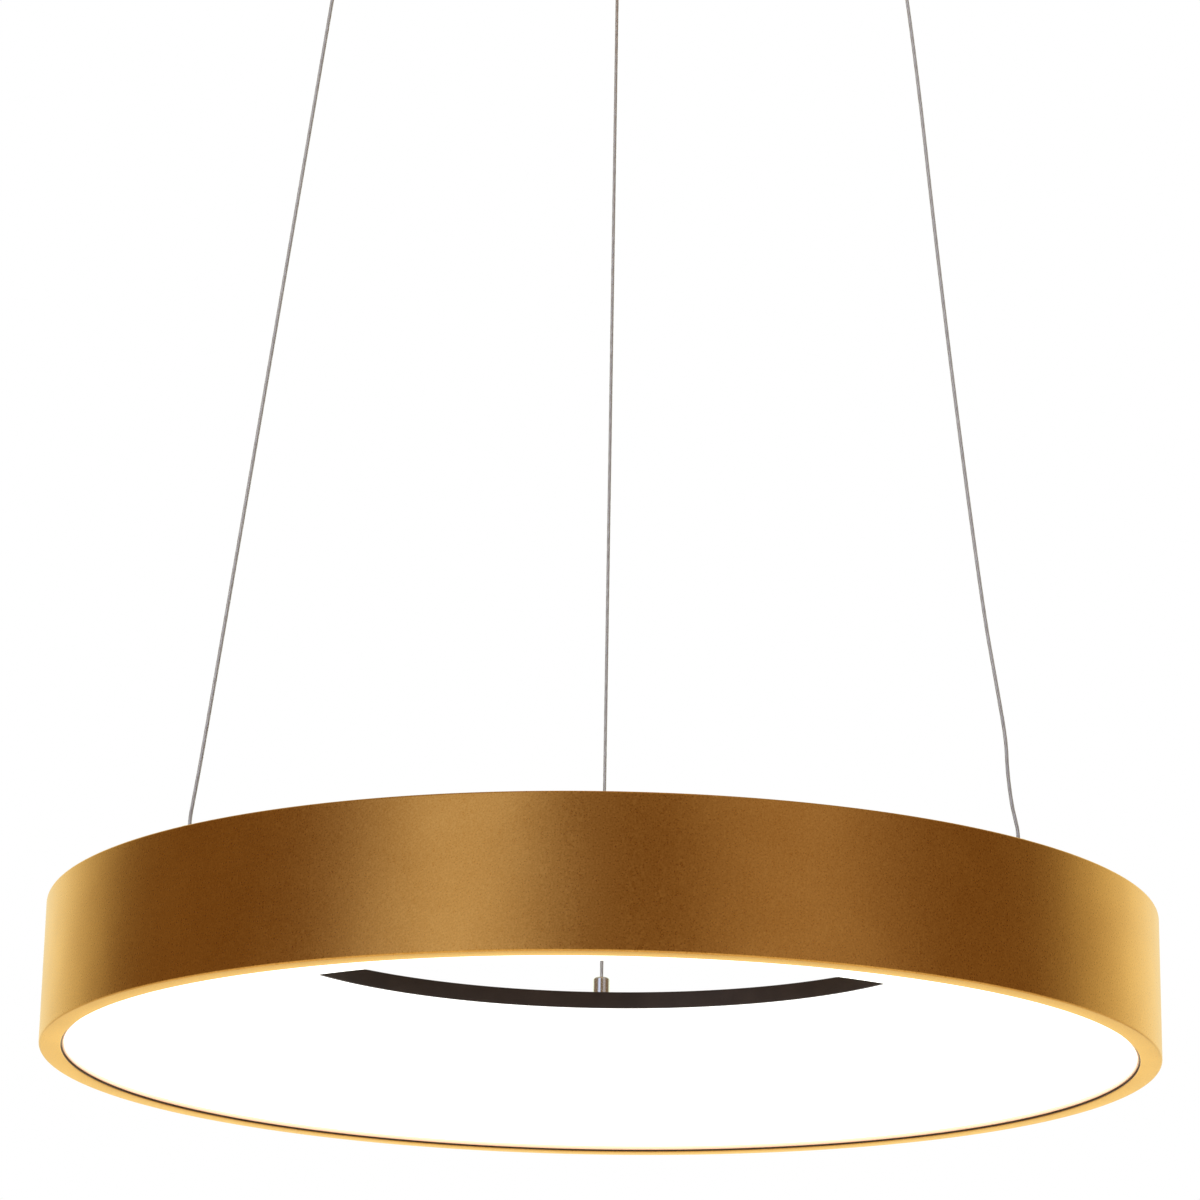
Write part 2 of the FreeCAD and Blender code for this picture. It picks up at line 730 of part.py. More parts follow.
def gripper_nipple(x, y):
    """Pressed up, it frees the balls, so that the cable slides through the gripper."""
    section = [
        (CABLE_HOLE_R, MOUTH_Z),
        (NIPPLE_R, MOUTH_Z, NIPPLE_EDGE_R),
        (NIPPLE_R, HEAD_LOW_Z),
        (NIPPLE_HEAD_R, HEAD_LOW_Z),
        (NIPPLE_HEAD_R, HEAD_TOP_Z),
        (CABLE_HOLE_R, HEAD_TOP_Z),
    ]
    return moved(revolved(section), x, y)


def gripper_balls(x, y):
    ring = CABLE_R + BALL_R + BALL_PLAY
    z = HEAD_TOP_Z + BALL_R
    spots = [polar(ring, 360 / BALLS * k, z) for k in range(BALLS)]
    return group(Part.makeSphere(BALL_R, V(x, y, 0) + spot) for spot in spots)


def gripper_spring(x, y):
    outer = CAVITY_R - SPRING_PLAY
    return sleeve(outer, outer - SPRING_T, HEAD_TOP_Z + 2 * BALL_R + BALL_PLAY, CAVITY_TOP_Z, x, y)


def cable_tails():
    return group(post(CABLE_R, SEAM_Z, TAIL_TOP_Z, x, y) for x, y in at_cables(CABLE_CANOPY_R))


def cable_crimps():
    return group(post(CRIMP_R, TAIL_TOP_Z, CRIMP_TOP_Z, x, y) for x, y in at_cables(CABLE_CANOPY_R))


def canopy_cup():
    inner_edge = CANOPY_EDGE_R - CANOPY_WALL
    section = [
        (0, FLOOR_LOW_Z),
        (CANOPY_R, FLOOR_LOW_Z, CANOPY_EDGE_R),
        (CANOPY_R, 0),
        (CANOPY_IN_R, 0),
        (CANOPY_IN_R, FLOOR_Z, inner_edge),
        (0, FLOOR_Z),
    ]
    cup = revolved(section)
    bosses = [post(BOSS_R, FLOOR_Z, DRIVER_LOW_Z, side * DRIVER_EAR_X, DRIVER_Y) for side in (-1, 1)]
    for boss in bosses:
        cup = cup.fuse(boss)
    for side in (-1, 1):
        tap = post(SCREW_M3_R + THREAD_PLAY, FLOOR_Z, DRIVER_LOW_Z + OVERCUT, side * DRIVER_EAR_X, DRIVER_Y)
        cup = cup.cut(tap)
        cup = cup.cut(side_bore(SCREW_M4_R + HOLE_PLAY, side))
    for x, y in at_cables(CABLE_CANOPY_R):
        cup = cup.cut(through(NECK_HOLE_R, FLOOR_LOW_Z, FLOOR_Z, x, y))
    return cup


def side_bore(radius, side):
    """A bore along X through the canopy's side wall and the bracket's ear."""
    inner_x = EAR_OUT_X - BRACKET_T - OVERCUT
    start = V(side * inner_x, 0, SIDE_SCREW_Z)
    return Part.makeCylinder(radius, CANOPY_R + OVERCUT - inner_x, start, V(side, 0, 0))


def ceiling_bracket():
    bar = Part.makeBox(2 * EAR_OUT_X, BRACKET_W, BRACKET_T, V(-EAR_OUT_X, -BRACKET_W / 2, -BRACKET_T))
    for side in (-1, 1):
        x = side * (EAR_OUT_X - BRACKET_T / 2) - BRACKET_T / 2
        ear = Part.makeBox(BRACKET_T, EAR_W, EAR_DROP, V(x, -EAR_W / 2, -EAR_DROP))
        bar = bar.fuse(ear).cut(side_bore(SCREW_M4_R + THREAD_PLAY, side))
        bar = bar.cut(slot(side * SLOT_SPACING / 2))
    bar = bar.cut(through(ENTRY_R, -BRACKET_T, 0, ENTRY_X, 0))
    bar = bar.cut(through(SCREW_M4_R + THREAD_PLAY, -BRACKET_T, 0, EARTH_X, 0))
    return bar.removeSplitter()


def slot(x):
    """A slot through the bracket, long along X, for a ceiling screw."""
    half = SLOT_LENGTH / 2 - SLOT_R
    low = -BRACKET_T - OVERCUT
    middle = Part.makeBox(2 * half, 2 * SLOT_R, OVERCUT - low, V(x - half, -SLOT_R, low))
    ends = [through(SLOT_R, -BRACKET_T, 0, x + side * half, 0) for side in (-1, 1)]
    return middle.fuse(ends[0]).fuse(ends[1])


def canopy_thumb_screws():
    screws = []
    for side in (-1, 1):
        tip = V(side * (EAR_OUT_X - SIDE_SCREW_IN), 0, SIDE_SCREW_Z)
        out = V(side, 0, 0)
        shank = Part.makeCylinder(SCREW_M4_R, CANOPY_R - EAR_OUT_X + SIDE_SCREW_IN, tip, out)
        head = Part.makeCylinder(SIDE_HEAD_R, SIDE_HEAD_L, V(side * CANOPY_R, 0, SIDE_SCREW_Z), out)
        rims = [e for e in head.Edges if e.Closed and e.BoundBox.XLength < 1e-6]
        head = head.makeFillet(SIDE_HEAD_EDGE, rims)
        screws.append(head.fuse(shank))
    return group(screws)


def lead_holes(low_side):
    """Round lead holes in the driver's end wall, on its input or its output side."""
    wall_x = -DRIVER_L / 2 if low_side else DRIVER_L / 2 - DRIVER_WALL
    radius = LEAD_R + LEAD_HOLE_PLAY
    starts = [V(wall_x - OVERCUT, DRIVER_Y + side * LEAD_SPREAD, LEAD_Z) for side in (-1, 1)]
    return [Part.makeCylinder(radius, DRIVER_WALL + 2 * OVERCUT, start, V(1, 0, 0)) for start in starts]


def driver_base():
    base = rounded_box(DRIVER_L, DRIVER_W, DRIVER_BASE_H, 0, DRIVER_Y, DRIVER_LOW_Z, DRIVER_EDGE_R)
    inner_l = DRIVER_L - 2 * DRIVER_WALL
    inner_w = DRIVER_W - 2 * DRIVER_WALL
    floor_z = DRIVER_LOW_Z + DRIVER_WALL
    corner = V(-inner_l / 2, DRIVER_Y - inner_w / 2, floor_z)
    base = base.cut(Part.makeBox(inner_l, inner_w, DRIVER_BASE_H, corner))
    for side in (-1, 1):
        ear = Part.makeBox(EAR_L, EAR_L, EAR_T, V(0, DRIVER_Y - EAR_L / 2, DRIVER_LOW_Z))
        ear = moved(ear, DRIVER_L / 2 if side > 0 else -DRIVER_L / 2 - EAR_L, 0)
        base = base.fuse(ear)
        ear_top = DRIVER_LOW_Z + EAR_T
        hole = through(SCREW_M3_R + HOLE_PLAY, DRIVER_LOW_Z, ear_top, side * DRIVER_EAR_X, DRIVER_Y)
        base = base.cut(hole)
    for x in (-inner_l / 2, inner_l / 2 - POST_SIDE):
        for y in (-inner_w / 2, inner_w / 2 - POST_SIDE):
            base = base.fuse(Part.makeBox(POST_SIDE, POST_SIDE, POST_H, V(x, DRIVER_Y + y, floor_z)))
    for hole in lead_holes(True) + lead_holes(False):
        base = base.cut(hole)
    return base.removeSplitter()


def driver_lid():
    lid = rounded_box(DRIVER_L, DRIVER_W, DRIVER_LID_H, 0, DRIVER_Y, DRIVER_SPLIT_Z, DRIVER_EDGE_R)
    inner_l = DRIVER_L - 2 * DRIVER_WALL
    inner_w = DRIVER_W - 2 * DRIVER_WALL
    hollow = Part.makeBox(
        inner_l,
        inner_w,
        DRIVER_LID_H - DRIVER_WALL,
        V(-inner_l / 2, DRIVER_Y - inner_w / 2, DRIVER_SPLIT_Z),
    )
    return lid.cut(hollow)


def driver_board():
    length = DRIVER_L - 2 * (DRIVER_WALL + PCB_PLAY)
    width = DRIVER_W - 2 * (DRIVER_WALL + PCB_PLAY)
    return Part.makeBox(length, width, PCB_T, V(-length / 2, DRIVER_Y - width / 2, PCB_LOW_Z))


def driver_transformer():
    """A square core with a round winding showing at both ends."""
    length, width, height = CORE
    low = PCB_LOW_Z + PCB_T
    core = Part.makeBox(length, width, height, V(-length / 2, DRIVER_Y - width / 2, low))
    end = V(-length / 2 - WINDING_OUT, DRIVER_Y, low + height / 2)
    return core.fuse(Part.makeCylinder(WINDING_R, length + 2 * WINDING_OUT, end, V(1, 0, 0)))


def driver_capacitors():
    low = PCB_LOW_Z + PCB_T
    return group(post(radius, low, low + height, x, DRIVER_Y + y) for x, y, radius, height in CAPACITORS)


def driver_screws():
    seat = DRIVER_LOW_Z + EAR_T
    tip = FLOOR_Z + SCREW_TIP
    return group(
        pan_screw(M3_HEAD_R, M3_HEAD_H, SCREW_M3_R, seat, tip, side * DRIVER_EAR_X, DRIVER_Y)
        for side in (-1, 1)
    )


def pole_x(pole):
    return BLOCK_X + POLE_PITCH * (pole + 0.5)


def well_places():
    """The two screws of each pole, one for each wire."""
    rows = (BLOCK_Y + WELL_INSET, BLOCK_Y + BLOCK_W - WELL_INSET)
    return [(pole_x(pole), y) for pole in range(BLOCK_POLES) for y in rows]


def terminal_block():
    block = Part.makeBox(BLOCK_L, BLOCK_W, BLOCK_H, V(BLOCK_X, BLOCK_Y, FLOOR_Z))
    for pole in range(BLOCK_POLES):
        for y, way in ((BLOCK_Y, 1), (BLOCK_Y + BLOCK_W, -1)):
            start = V(pole_x(pole), y - way * OVERCUT, WIRE_HOLE_Z)
            depth = WIRE_HOLE_DEPTH + OVERCUT
            block = block.cut(Part.makeCylinder(WIRE_HOLE_R, depth, start, V(0, way, 0)))
    for x, y in well_places():
        block = block.cut(post(WELL_R, BLOCK_TOP_Z - WELL_DEPTH, BLOCK_TOP_Z + OVERCUT, x, y))
    return block


def terminal_screws():
    low = BLOCK_TOP_Z - WELL_DEPTH
    screws = []
    for x, y in well_places():
        head = post(POLE_SCREW_R, low, low + POLE_SCREW_H, x, y)
        corner = V(x - POLE_SCREW_R, y - SCREW_SLOT_W / 2, low + POLE_SCREW_H - SCREW_SLOT_DEPTH)
        screws.append(head.cut(Part.makeBox(2 * POLE_SCREW_R, SCREW_SLOT_W, BLOCK_H, corner)))
    return group(screws)


def earth_screw():
    seat = -BRACKET_T - LUG_T
    return pan_screw(M4_HEAD_R, M4_HEAD_H, SCREW_M4_R, seat, 0, EARTH_X, 0)


def earth_lead():
    """From the third pole, clear of the lead hole, to a ring lug under the bracket."""
    lug_low = -BRACKET_T - LUG_T
    lug = sleeve(LUG_R, SCREW_M4_R + HOLE_PLAY, lug_low, -BRACKET_T, EARTH_X, 0)
    neck_x = EARTH_X - LUG_NECK_L
    neck = Part.makeBox(LUG_NECK_L - LUG_R + LUG_LAP, LUG_NECK_W, LUG_T, V(neck_x, -LUG_NECK_W / 2, lug_low))
    lead_z = lug_low - LEAD_R + LUG_SINK
    x = pole_x(2)
    points = [
        V(x, BLOCK_Y + LEAD_END_IN, WIRE_HOLE_Z),
        V(x, BLOCK_Y - EARTH_RUN, WIRE_HOLE_Z),
        V(x + EARTH_SIDE, BLOCK_Y - EARTH_RUN - LEAD_LIFT, WIRE_HOLE_Z + EARTH_DIP),
        V(neck_x - EARTH_APPROACH, LEAD_LIFT, lead_z - EARTH_DIP),
        V(neck_x - EARTH_APPROACH / 2, 0, lead_z),
        V(neck_x + LUG_NECK_W, 0, lead_z),
    ]
    return lug.fuse(neck).fuse(tube(points, LEAD_R, "earth lead"))


def mains_lead(pole, side, name):
    """From a pole of the block round to the driver's input end."""
    x = pole_x(pole)
    y = DRIVER_Y + side * LEAD_SPREAD
    end_x = -DRIVER_L / 2
    bulge = SWING_SHIFT * side
    points = [
        V(x, BLOCK_Y + LEAD_END_IN, WIRE_HOLE_Z),
        V(x, BLOCK_Y - BLOCK_LEAD_RUN, WIRE_HOLE_Z),
        V(x - BLOCK_LEAD_SIDE, BLOCK_Y - BLOCK_LEAD_BACK, WIRE_HOLE_Z + LEAD_LIFT),
        V(end_x - SWING_OUT + bulge, DRIVER_Y + SWING_OUT, LEAD_Z),
        V(end_x - SWING_OUT + SWING_SHIFT + bulge, y, LEAD_Z),
        V(end_x + LEAD_IN, y, LEAD_Z),
    ]
    return tube(points, LEAD_R, name)


def crimp_exit(number, along_x, along_y):
    """The first points of a lead that leaves the crimp upward and turns level."""
    start = polar(CABLE_CANOPY_R, CABLE_AZIMUTHS[number], CRIMP_TOP_Z)
    above = start + V(0, 0, CRIMP_LEAD_UP)
    return [start, above, start + V(along_x, along_y, CRIMP_LEAD_TURN)]


def output_lead_minus():
    """From the third cable's crimp to the driver's output end."""
    y = DRIVER_Y + LEAD_SPREAD
    end_x = DRIVER_L / 2
    points = crimp_exit(2, -CRIMP_LEAD_SIDE, CRIMP_LEAD_BACK)
    points += [
        V(end_x + SWING_OUT, y, LEAD_Z + LEAD_LIFT),
        V(end_x + SWING_IN, y, LEAD_Z),
        V(end_x - LEAD_IN, y, LEAD_Z),
    ]
    return tube(points, LEAD_R, "output lead minus")


def output_lead_plus():
    """From the second cable's crimp past the driver's long side to its output end."""
    y = DRIVER_Y - LEAD_SPREAD
    far_y = DRIVER_Y - DRIVER_W / 2 - PAST_DRIVER_SIDE
    end_x = DRIVER_L / 2
    points = crimp_exit(1, CRIMP_LEAD_SIDE, -CRIMP_LEAD_BACK)
    points += [
        V(-PAST_DRIVER_STATION, far_y, LEAD_Z + LEAD_LIFT),
        V(0, far_y - SWING_SHIFT, LEAD_Z - LEAD_LIFT),
        V(PAST_DRIVER_STATION, far_y, LEAD_Z + LEAD_LIFT),
        V(end_x + SWING_IN + SWING_SHIFT, far_y + 2 * SWING_SHIFT, LEAD_Z + LEAD_LIFT),
        V(end_x + SWING_IN + SWING_SHIFT, y, LEAD_Z),
        V(end_x - LEAD_IN, y, LEAD_Z),
    ]
    return tube(points, LEAD_R, "output lead plus")


def all_nodes():
    nodes = {
        "gold_band": gold_band(),
        "top_plate": top_plate(),
        "inner_trim_ring": inner_trim_ring(),
        "diffuser": diffuser(),
        "board_screws": board_screws(),
        "top_screws": top_screws(),
        "weld_nuts": weld_nuts(),
        "trim_screws": trim_screws(),
        "hollow_studs": hollow_studs(),
        "stud_washers": stud_washers(),
        "stud_nuts": stud_nuts(),
        "cable_ferrules": cable_ferrules(),
        "feed_lead_plus": feed_lead(1, "feed lead plus"),
        "feed_lead_minus": feed_lead(2, "feed lead minus"),
        "jumper_leads": jumper_leads(),
        "gripper_nuts": gripper_nuts(),
        "cable_tails": cable_tails(),
        "cable_crimps": cable_crimps(),
        "canopy_cup": canopy_cup(),
        "ceiling_bracket": ceiling_bracket(),
        "canopy_thumb_screws": canopy_thumb_screws(),
        "driver_base": driver_base(),
        "driver_lid": driver_lid(),
        "driver_board": driver_board(),
        "driver_transformer": driver_transformer(),
        "driver_capacitors": driver_capacitors(),
        "driver_screws": driver_screws(),
        "terminal_block": terminal_block(),
        "terminal_screws": terminal_screws(),
        "earth_screw": earth_screw(),
        "earth_lead": earth_lead(),
        "live_lead": mains_lead(0, -1, "live lead"),
        "neutral_lead": mains_lead(1, 1, "neutral lead"),
        "output_lead_minus": output_lead_minus(),
        "output_lead_plus": output_lead_plus(),
    }
    for number, centre in enumerate(board_centre_azimuths()):
        nodes[f"led_board_{number + 1}"] = led_board(centre)
        nodes[f"leds_{number + 1}"] = board_leds(centre)
    for number, (x, y) in enumerate(at_cables(CABLE_RING_R)):
        nodes[f"cable_barrel_{number + 1}"] = cable_barrel(x, y)
    for number, (x, y) in enumerate(at_cables(CABLE_CANOPY_R)):
        nodes[f"gripper_body_{number + 1}"] = gripper_body(x, y)
        nodes[f"gripper_nipple_{number + 1}"] = gripper_nipple(x, y)
        nodes[f"gripper_balls_{number + 1}"] = gripper_balls(x, y)
        nodes[f"gripper_spring_{number + 1}"] = gripper_spring(x, y)
        nodes[f"cable_{number + 1}"] = cable(number)
    return nodes


def main():
    os.makedirs("parts", exist_ok=True)
    nodes = all_nodes()
    for name, shape in nodes.items():
        if not shape.isValid() or not shape.Solids:
            print(f"{name}: not a valid solid")
        shape.exportStep(f"parts/{name}.step")
    print(f"{len(nodes)} nodes")


main()
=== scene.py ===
import bmesh
import bpy
import math
from mathutils import Matrix, Vector


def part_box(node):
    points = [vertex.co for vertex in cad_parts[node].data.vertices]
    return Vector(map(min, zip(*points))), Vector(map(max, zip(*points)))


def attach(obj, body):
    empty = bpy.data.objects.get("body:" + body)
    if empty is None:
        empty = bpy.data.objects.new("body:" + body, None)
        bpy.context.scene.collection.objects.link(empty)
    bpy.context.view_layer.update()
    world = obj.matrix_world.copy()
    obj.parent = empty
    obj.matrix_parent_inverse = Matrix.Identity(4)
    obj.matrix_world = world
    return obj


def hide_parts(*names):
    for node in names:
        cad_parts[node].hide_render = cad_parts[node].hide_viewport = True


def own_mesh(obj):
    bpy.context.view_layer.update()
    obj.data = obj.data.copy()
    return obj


# The looks of the ring chandelier. Lengths are in metres unless a name ends in MM.

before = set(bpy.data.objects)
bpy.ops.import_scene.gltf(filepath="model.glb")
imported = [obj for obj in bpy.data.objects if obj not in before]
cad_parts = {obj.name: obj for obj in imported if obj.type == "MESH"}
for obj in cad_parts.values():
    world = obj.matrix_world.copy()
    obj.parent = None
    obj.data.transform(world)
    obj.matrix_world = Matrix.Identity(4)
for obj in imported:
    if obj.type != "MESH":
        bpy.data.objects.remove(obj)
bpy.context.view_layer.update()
MM = 0.001

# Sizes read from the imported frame
band_low, band_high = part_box("gold_band")
plate_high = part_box("top_plate")[1]
trim_low, trim_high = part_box("inner_trim_ring")
panel_low, panel_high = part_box("diffuser")
cup_low, cup_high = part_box("canopy_cup")
barrel_low, barrel_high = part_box("cable_barrel_1")
body_low, body_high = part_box("gripper_body_1")
nipple_low, nipple_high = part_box("gripper_nipple_1")
spring_low, spring_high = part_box("gripper_spring_1")
ferrule_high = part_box("cable_ferrules")[1]
cable_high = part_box("cable_1")[1]
lid_low, lid_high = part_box("driver_lid")
base_low, base_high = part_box("driver_base")

RING_R = band_high.x
RIM_Z = band_low.z
BAND_TOP = band_high.z
PLATE_TOP = plate_high.z
TRIM_TOP = trim_high.z
CANOPY_R = cup_high.x
FLOOR_LOW = cup_low.z
BARREL_R = (barrel_high.x - barrel_low.x) / 2
BARREL_TOP = barrel_high.z
GRIPPER_R = (body_high.x - body_low.x) / 2
CABLE_RING_R = (barrel_high.y + barrel_low.y) / 2
CABLE_CANOPY_R = (body_high.y + body_low.y) / 2
MOUTH_Z = nipple_low.z

# Band and trim: sheet thickness, flanges and rounded edges
WALL = 1.5 * MM
EDGE = 1.0 * MM
RIM_WIDTH = 11.5 * MM
TOP_FLANGE = 24 * MM
TRIM_LEG = 14 * MM
RING_SECTION = 105.4 * MM
HOLE_R = RING_R - RING_SECTION
RIM_IN_R = RING_R - RIM_WIDTH

# Opal panel: the groove between it and the rim, its outline, bends and clearances
OPAL_T = 2.0 * MM
GROOVE = 0.6 * MM
OPAL_R = RIM_IN_R - GROOVE
OPAL_BORDER = 1.0 * MM
OPAL_BORDER_R = 0.3 * MM
OPAL_STEP = 2.2 * MM
DISH_R = OPAL_R - OPAL_BORDER
DISH_Z = panel_low.z + OPAL_STEP
OPAL_FLAT = 59.9 * MM
OPAL_RISE = 5.4 * MM
OPAL_CORNER_R = 30 * MM
OPAL_WALL_PLAY = 1.1 * MM
OPAL_TOP_STRAIGHT = 5.5 * MM
OPAL_TOP_BEND_R = 8.0 * MM
# The outermost part of the border lies in the groove's shade
SHADED_EDGE = 0.2 * MM
# Faces of the band that lie this near the rim's inner edge take the groove's painted shade
GROOVE_SHADE_REACH = 0.02 * MM

# Barrels on the ring: a foot set in under the side, a rounded crown and a countersunk bore
BARREL_FOOT_IN = 0.4 * MM
BARREL_FOOT_H = 1.0 * MM
BARREL_CROWN_R = 1.6 * MM
COUNTERSINK = 0.5 * MM
COUNTERSINK_DEPTH = 0.8 * MM
FINE_EDGE = 0.2 * MM

# Grippers: a neck in the canopy, a groove round the body, the nipple with its head, and the spring
NECK_R = 4.0 * MM
NECK_CHAMFER = 0.4 * MM
GRIP_GROOVE_BELOW = 3.0 * MM
GRIP_GROOVE_H = 1.2 * MM
GRIP_GROOVE_DEPTH = 0.5 * MM
GRIPPER_EDGE_R = 0.8 * MM
GRIPPER_LIP = 1.5 * MM
NIPPLE_R = 2.2 * MM
NIPPLE_EDGE_R = 0.4 * MM
NIPPLE_HEAD_R = 3.0 * MM
NIPPLE_PLAY = 0.05 * MM
SPRING_WIRE_R = 0.4 * MM
SPRING_TURNS = 5
STEPS_PER_TURN = 24

# Canopy cup with its two bosses for the driver, the lid's plate, and the earth lead's lug
CUP_EDGE_R = 5 * MM
BOSS_R = 3.5 * MM
BOSS_BORE_R = 1.55 * MM
EAR_INSET = 7 * MM
LID_EDGE_R = 1.6 * MM
LID_PLATE_INSET = 6 * MM
LID_GROOVE_W = 0.4 * MM
LID_GROOVE_DEPTH = 0.5 * MM
LUG_X = 22 * MM
LUG_TOP = -2 * MM
LUG_T = 0.8 * MM
LUG_R = 4.2 * MM
LUG_BORE_R = 2.25 * MM
LUG_NECK_FROM = 13 * MM
LUG_NECK_TO = 19 * MM
LUG_NECK_HALF_W = 2 * MM

# Cables and leads, the three suspension points, and the steps of the round pieces
CABLE_R = 1.0 * MM
CABLE_BORE = 1.35 * MM
LEAD_R = 0.9 * MM
AZIMUTHS = (90.0, 210.0, 330.0)
RING_STEPS = 360
SMALL_STEPS = 64
ARC_STEPS = 6
SHARP = math.radians(40)

# Camera fitted to the photograph: place from the middle of the rim's plane, direction, and focal length
# in pixels of the 1200 pixel picture. The roll is between that of the ring and that of the cables.
CAMERA_AT = Vector((0, -2.1103, RIM_Z - 0.3829))
CAMERA_YAW = -0.0020
CAMERA_PITCH = 0.2969
CAMERA_ROLL = 0.0165
FOCAL_PX = 3954.8
PICTURE_PX = 1200
SENSOR_MM = 36.0
CLIP_NEAR = 0.05
CLIP_FAR = 60.0
FLOOR_Z = RIM_Z - 1.6
FLOOR_HALF = 6.0


def on_circle(radius, azimuth, z):
    """A point at a distance from the upright axis, at azimuth degrees from +X."""
    turn = math.radians(azimuth)
    return Vector((radius * math.cos(turn), radius * math.sin(turn), z))


def make_camera():
    """The camera that took the photograph."""
    ahead = Vector(
        (
            math.sin(CAMERA_YAW) * math.cos(CAMERA_PITCH),
            math.cos(CAMERA_YAW) * math.cos(CAMERA_PITCH),
            math.sin(CAMERA_PITCH),
        )
    )
    level = Vector((math.cos(CAMERA_YAW), -math.sin(CAMERA_YAW), 0))
    upright = level.cross(ahead)
    right = math.cos(CAMERA_ROLL) * level + math.sin(CAMERA_ROLL) * upright
    above = -math.sin(CAMERA_ROLL) * level + math.cos(CAMERA_ROLL) * upright
    data = bpy.data.cameras.new("camera")
    data.sensor_width = SENSOR_MM
    data.lens = SENSOR_MM * FOCAL_PX / PICTURE_PX
    data.clip_start = CLIP_NEAR
    data.clip_end = CLIP_FAR
    camera = bpy.data.objects.new("camera", data)
    bpy.context.collection.objects.link(camera)
    turn = Matrix((right, above, -ahead)).transposed()
    camera.matrix_world = Matrix.Translation(CAMERA_AT) @ turn.to_4x4()
    bpy.context.scene.camera = camera


# Materials. Patterns are given in features to the metre, colours as linear red, green and blue.
PATCHES = 60


class Nodes:
    """A node tree, with short ways to add and link nodes."""

    def __init__(self, tree):
        self.tree = tree

    def add(self, kind, **settings):
        node = self.tree.nodes.new(kind)
        for key, value in settings.items():
            setattr(node, key, value)
        return node

    def link(self, source, target):
        self.tree.links.new(source, target)

    def math(self, operation, first, second=None):
        node = self.add("ShaderNodeMath", operation=operation)
        for socket, value in zip(node.inputs, (first, second)):
            if isinstance(value, (int, float)):
                socket.default_value = value
            elif value is not None:
                self.link(value, socket)
        return node.outputs["Value"]

    def ramp(self, source, stops):
        """A colour for each share of source, from (share, colour) pairs."""
        node = self.add("ShaderNodeValToRGB")
        elements = node.color_ramp.elements
        while len(elements) < len(stops):
            elements.new(0.5)
        for element, (share, colour) in zip(elements, stops):
            element.position = share
            element.color = (*colour, 1)
        self.link(source, node.inputs["Fac"])
        return node.outputs["Color"]

    def spread(self, source, low, high, start=0.3, end=0.7):
        """Maps start to end, or else the middle of a pattern's range, onto low to high."""
        node = self.add("ShaderNodeMapRange")
        ends = {"From Min": start, "From Max": end, "To Min": low, "To Max": high}
        for socket, value in ends.items():
            node.inputs[socket].default_value = value
        self.link(source, node.inputs["Value"])
        return node.outputs["Result"]

    def parts(self, vector):
        """The X, Y and Z outputs of a vector."""
        node = self.add("ShaderNodeSeparateXYZ")
        self.link(vector, node.inputs["Vector"])
        return node.outputs["X"], node.outputs["Y"], node.outputs["Z"]


class Finish(Nodes):
    """A material with one Principled shader, and patterns in the piece's own coordinates."""

    def __init__(self, name, **values):
        self.material = bpy.data.materials.new(name)
        self.material.use_nodes = True
        super().__init__(self.material.node_tree)
        self.shader = self.tree.nodes["Principled BSDF"]
        for socket, value in values.items():
            self.shader.inputs[socket.replace("_", " ")].default_value = value
        self.coordinates = self.add("ShaderNodeTexCoord").outputs

    def noise(self, per_metre, detail=3.0, stretch=None):
        """Noise with about per_metre features to the metre, stretched by three factors where given."""
        node = self.add("ShaderNodeTexNoise")
        node.inputs["Scale"].default_value = per_metre
        node.inputs["Detail"].default_value = detail
        source = self.coordinates["Object"]
        if stretch is not None:
            mapping = self.add("ShaderNodeMapping")
            mapping.inputs["Scale"].default_value = stretch
            self.link(source, mapping.inputs["Vector"])
            source = mapping.outputs["Vector"]
        self.link(source, node.inputs["Vector"])
        return node.outputs["Fac"]

    def radius_and_height(self):
        """The distance from the upright axis, and the height."""
        x, y, z = self.parts(self.coordinates["Object"])
        squares = self.math("ADD", self.math("MULTIPLY", x, x), self.math("MULTIPLY", y, y))
        return self.math("SQRT", squares), z

    def round_and_along(self):
        """A tube's own coordinates: the share of the way round, and the metres along it."""
        return self.parts(self.coordinates["UV"])[:2]

    def colour(self, output):
        self.link(output, self.shader.inputs["Base Color"])

    def rough(self, output):
        self.link(output, self.shader.inputs["Roughness"])

    def bump(self, height, depth, strength=1.0):
        """Raised by depth metres where height is 1."""
        node = self.add("ShaderNodeBump")
        node.inputs["Strength"].default_value = strength
        node.inputs["Distance"].default_value = depth
        self.link(height, node.inputs["Height"])
        self.link(node.outputs["Normal"], self.shader.inputs["Normal"])


def grained(name, dark, light, roughness, grain, depth_mm, stretch=None, **values):
    """A surface whose colour wanders between two tones, with a fine grain in its gloss and relief."""
    made = Finish(name, **values)
    fine = made.noise(grain, stretch=stretch)
    wide = made.noise(PATCHES, detail=2.0)
    made.colour(made.ramp(wide, [(0.3, dark), (0.7, light)]))
    made.rough(made.spread(fine, *roughness))
    made.bump(fine, depth_mm * MM)
    return made.material


def gold_finish():
    """Satin anodised gold with a fine even grain of about a millimetre."""
    dark, light = (0.6, 0.25, 0.035), (1.0, 0.54, 0.13)
    grain_share = 0.75
    made = Finish("gold", Metallic=1.0, Specular_Tint=(1.0, 1.0, 0.8, 1.0))
    fine = made.noise(1150, detail=2.0)
    patches = made.noise(26, detail=2.0)
    wide_part = made.math("MULTIPLY", patches, 1 - grain_share)
    tone = made.math("ADD", wide_part, made.math("MULTIPLY", fine, grain_share))
    made.colour(made.ramp(tone, [(0.2, dark), (0.8, light)]))
    made.rough(made.spread(fine, 0.27, 0.34))
    return made.material


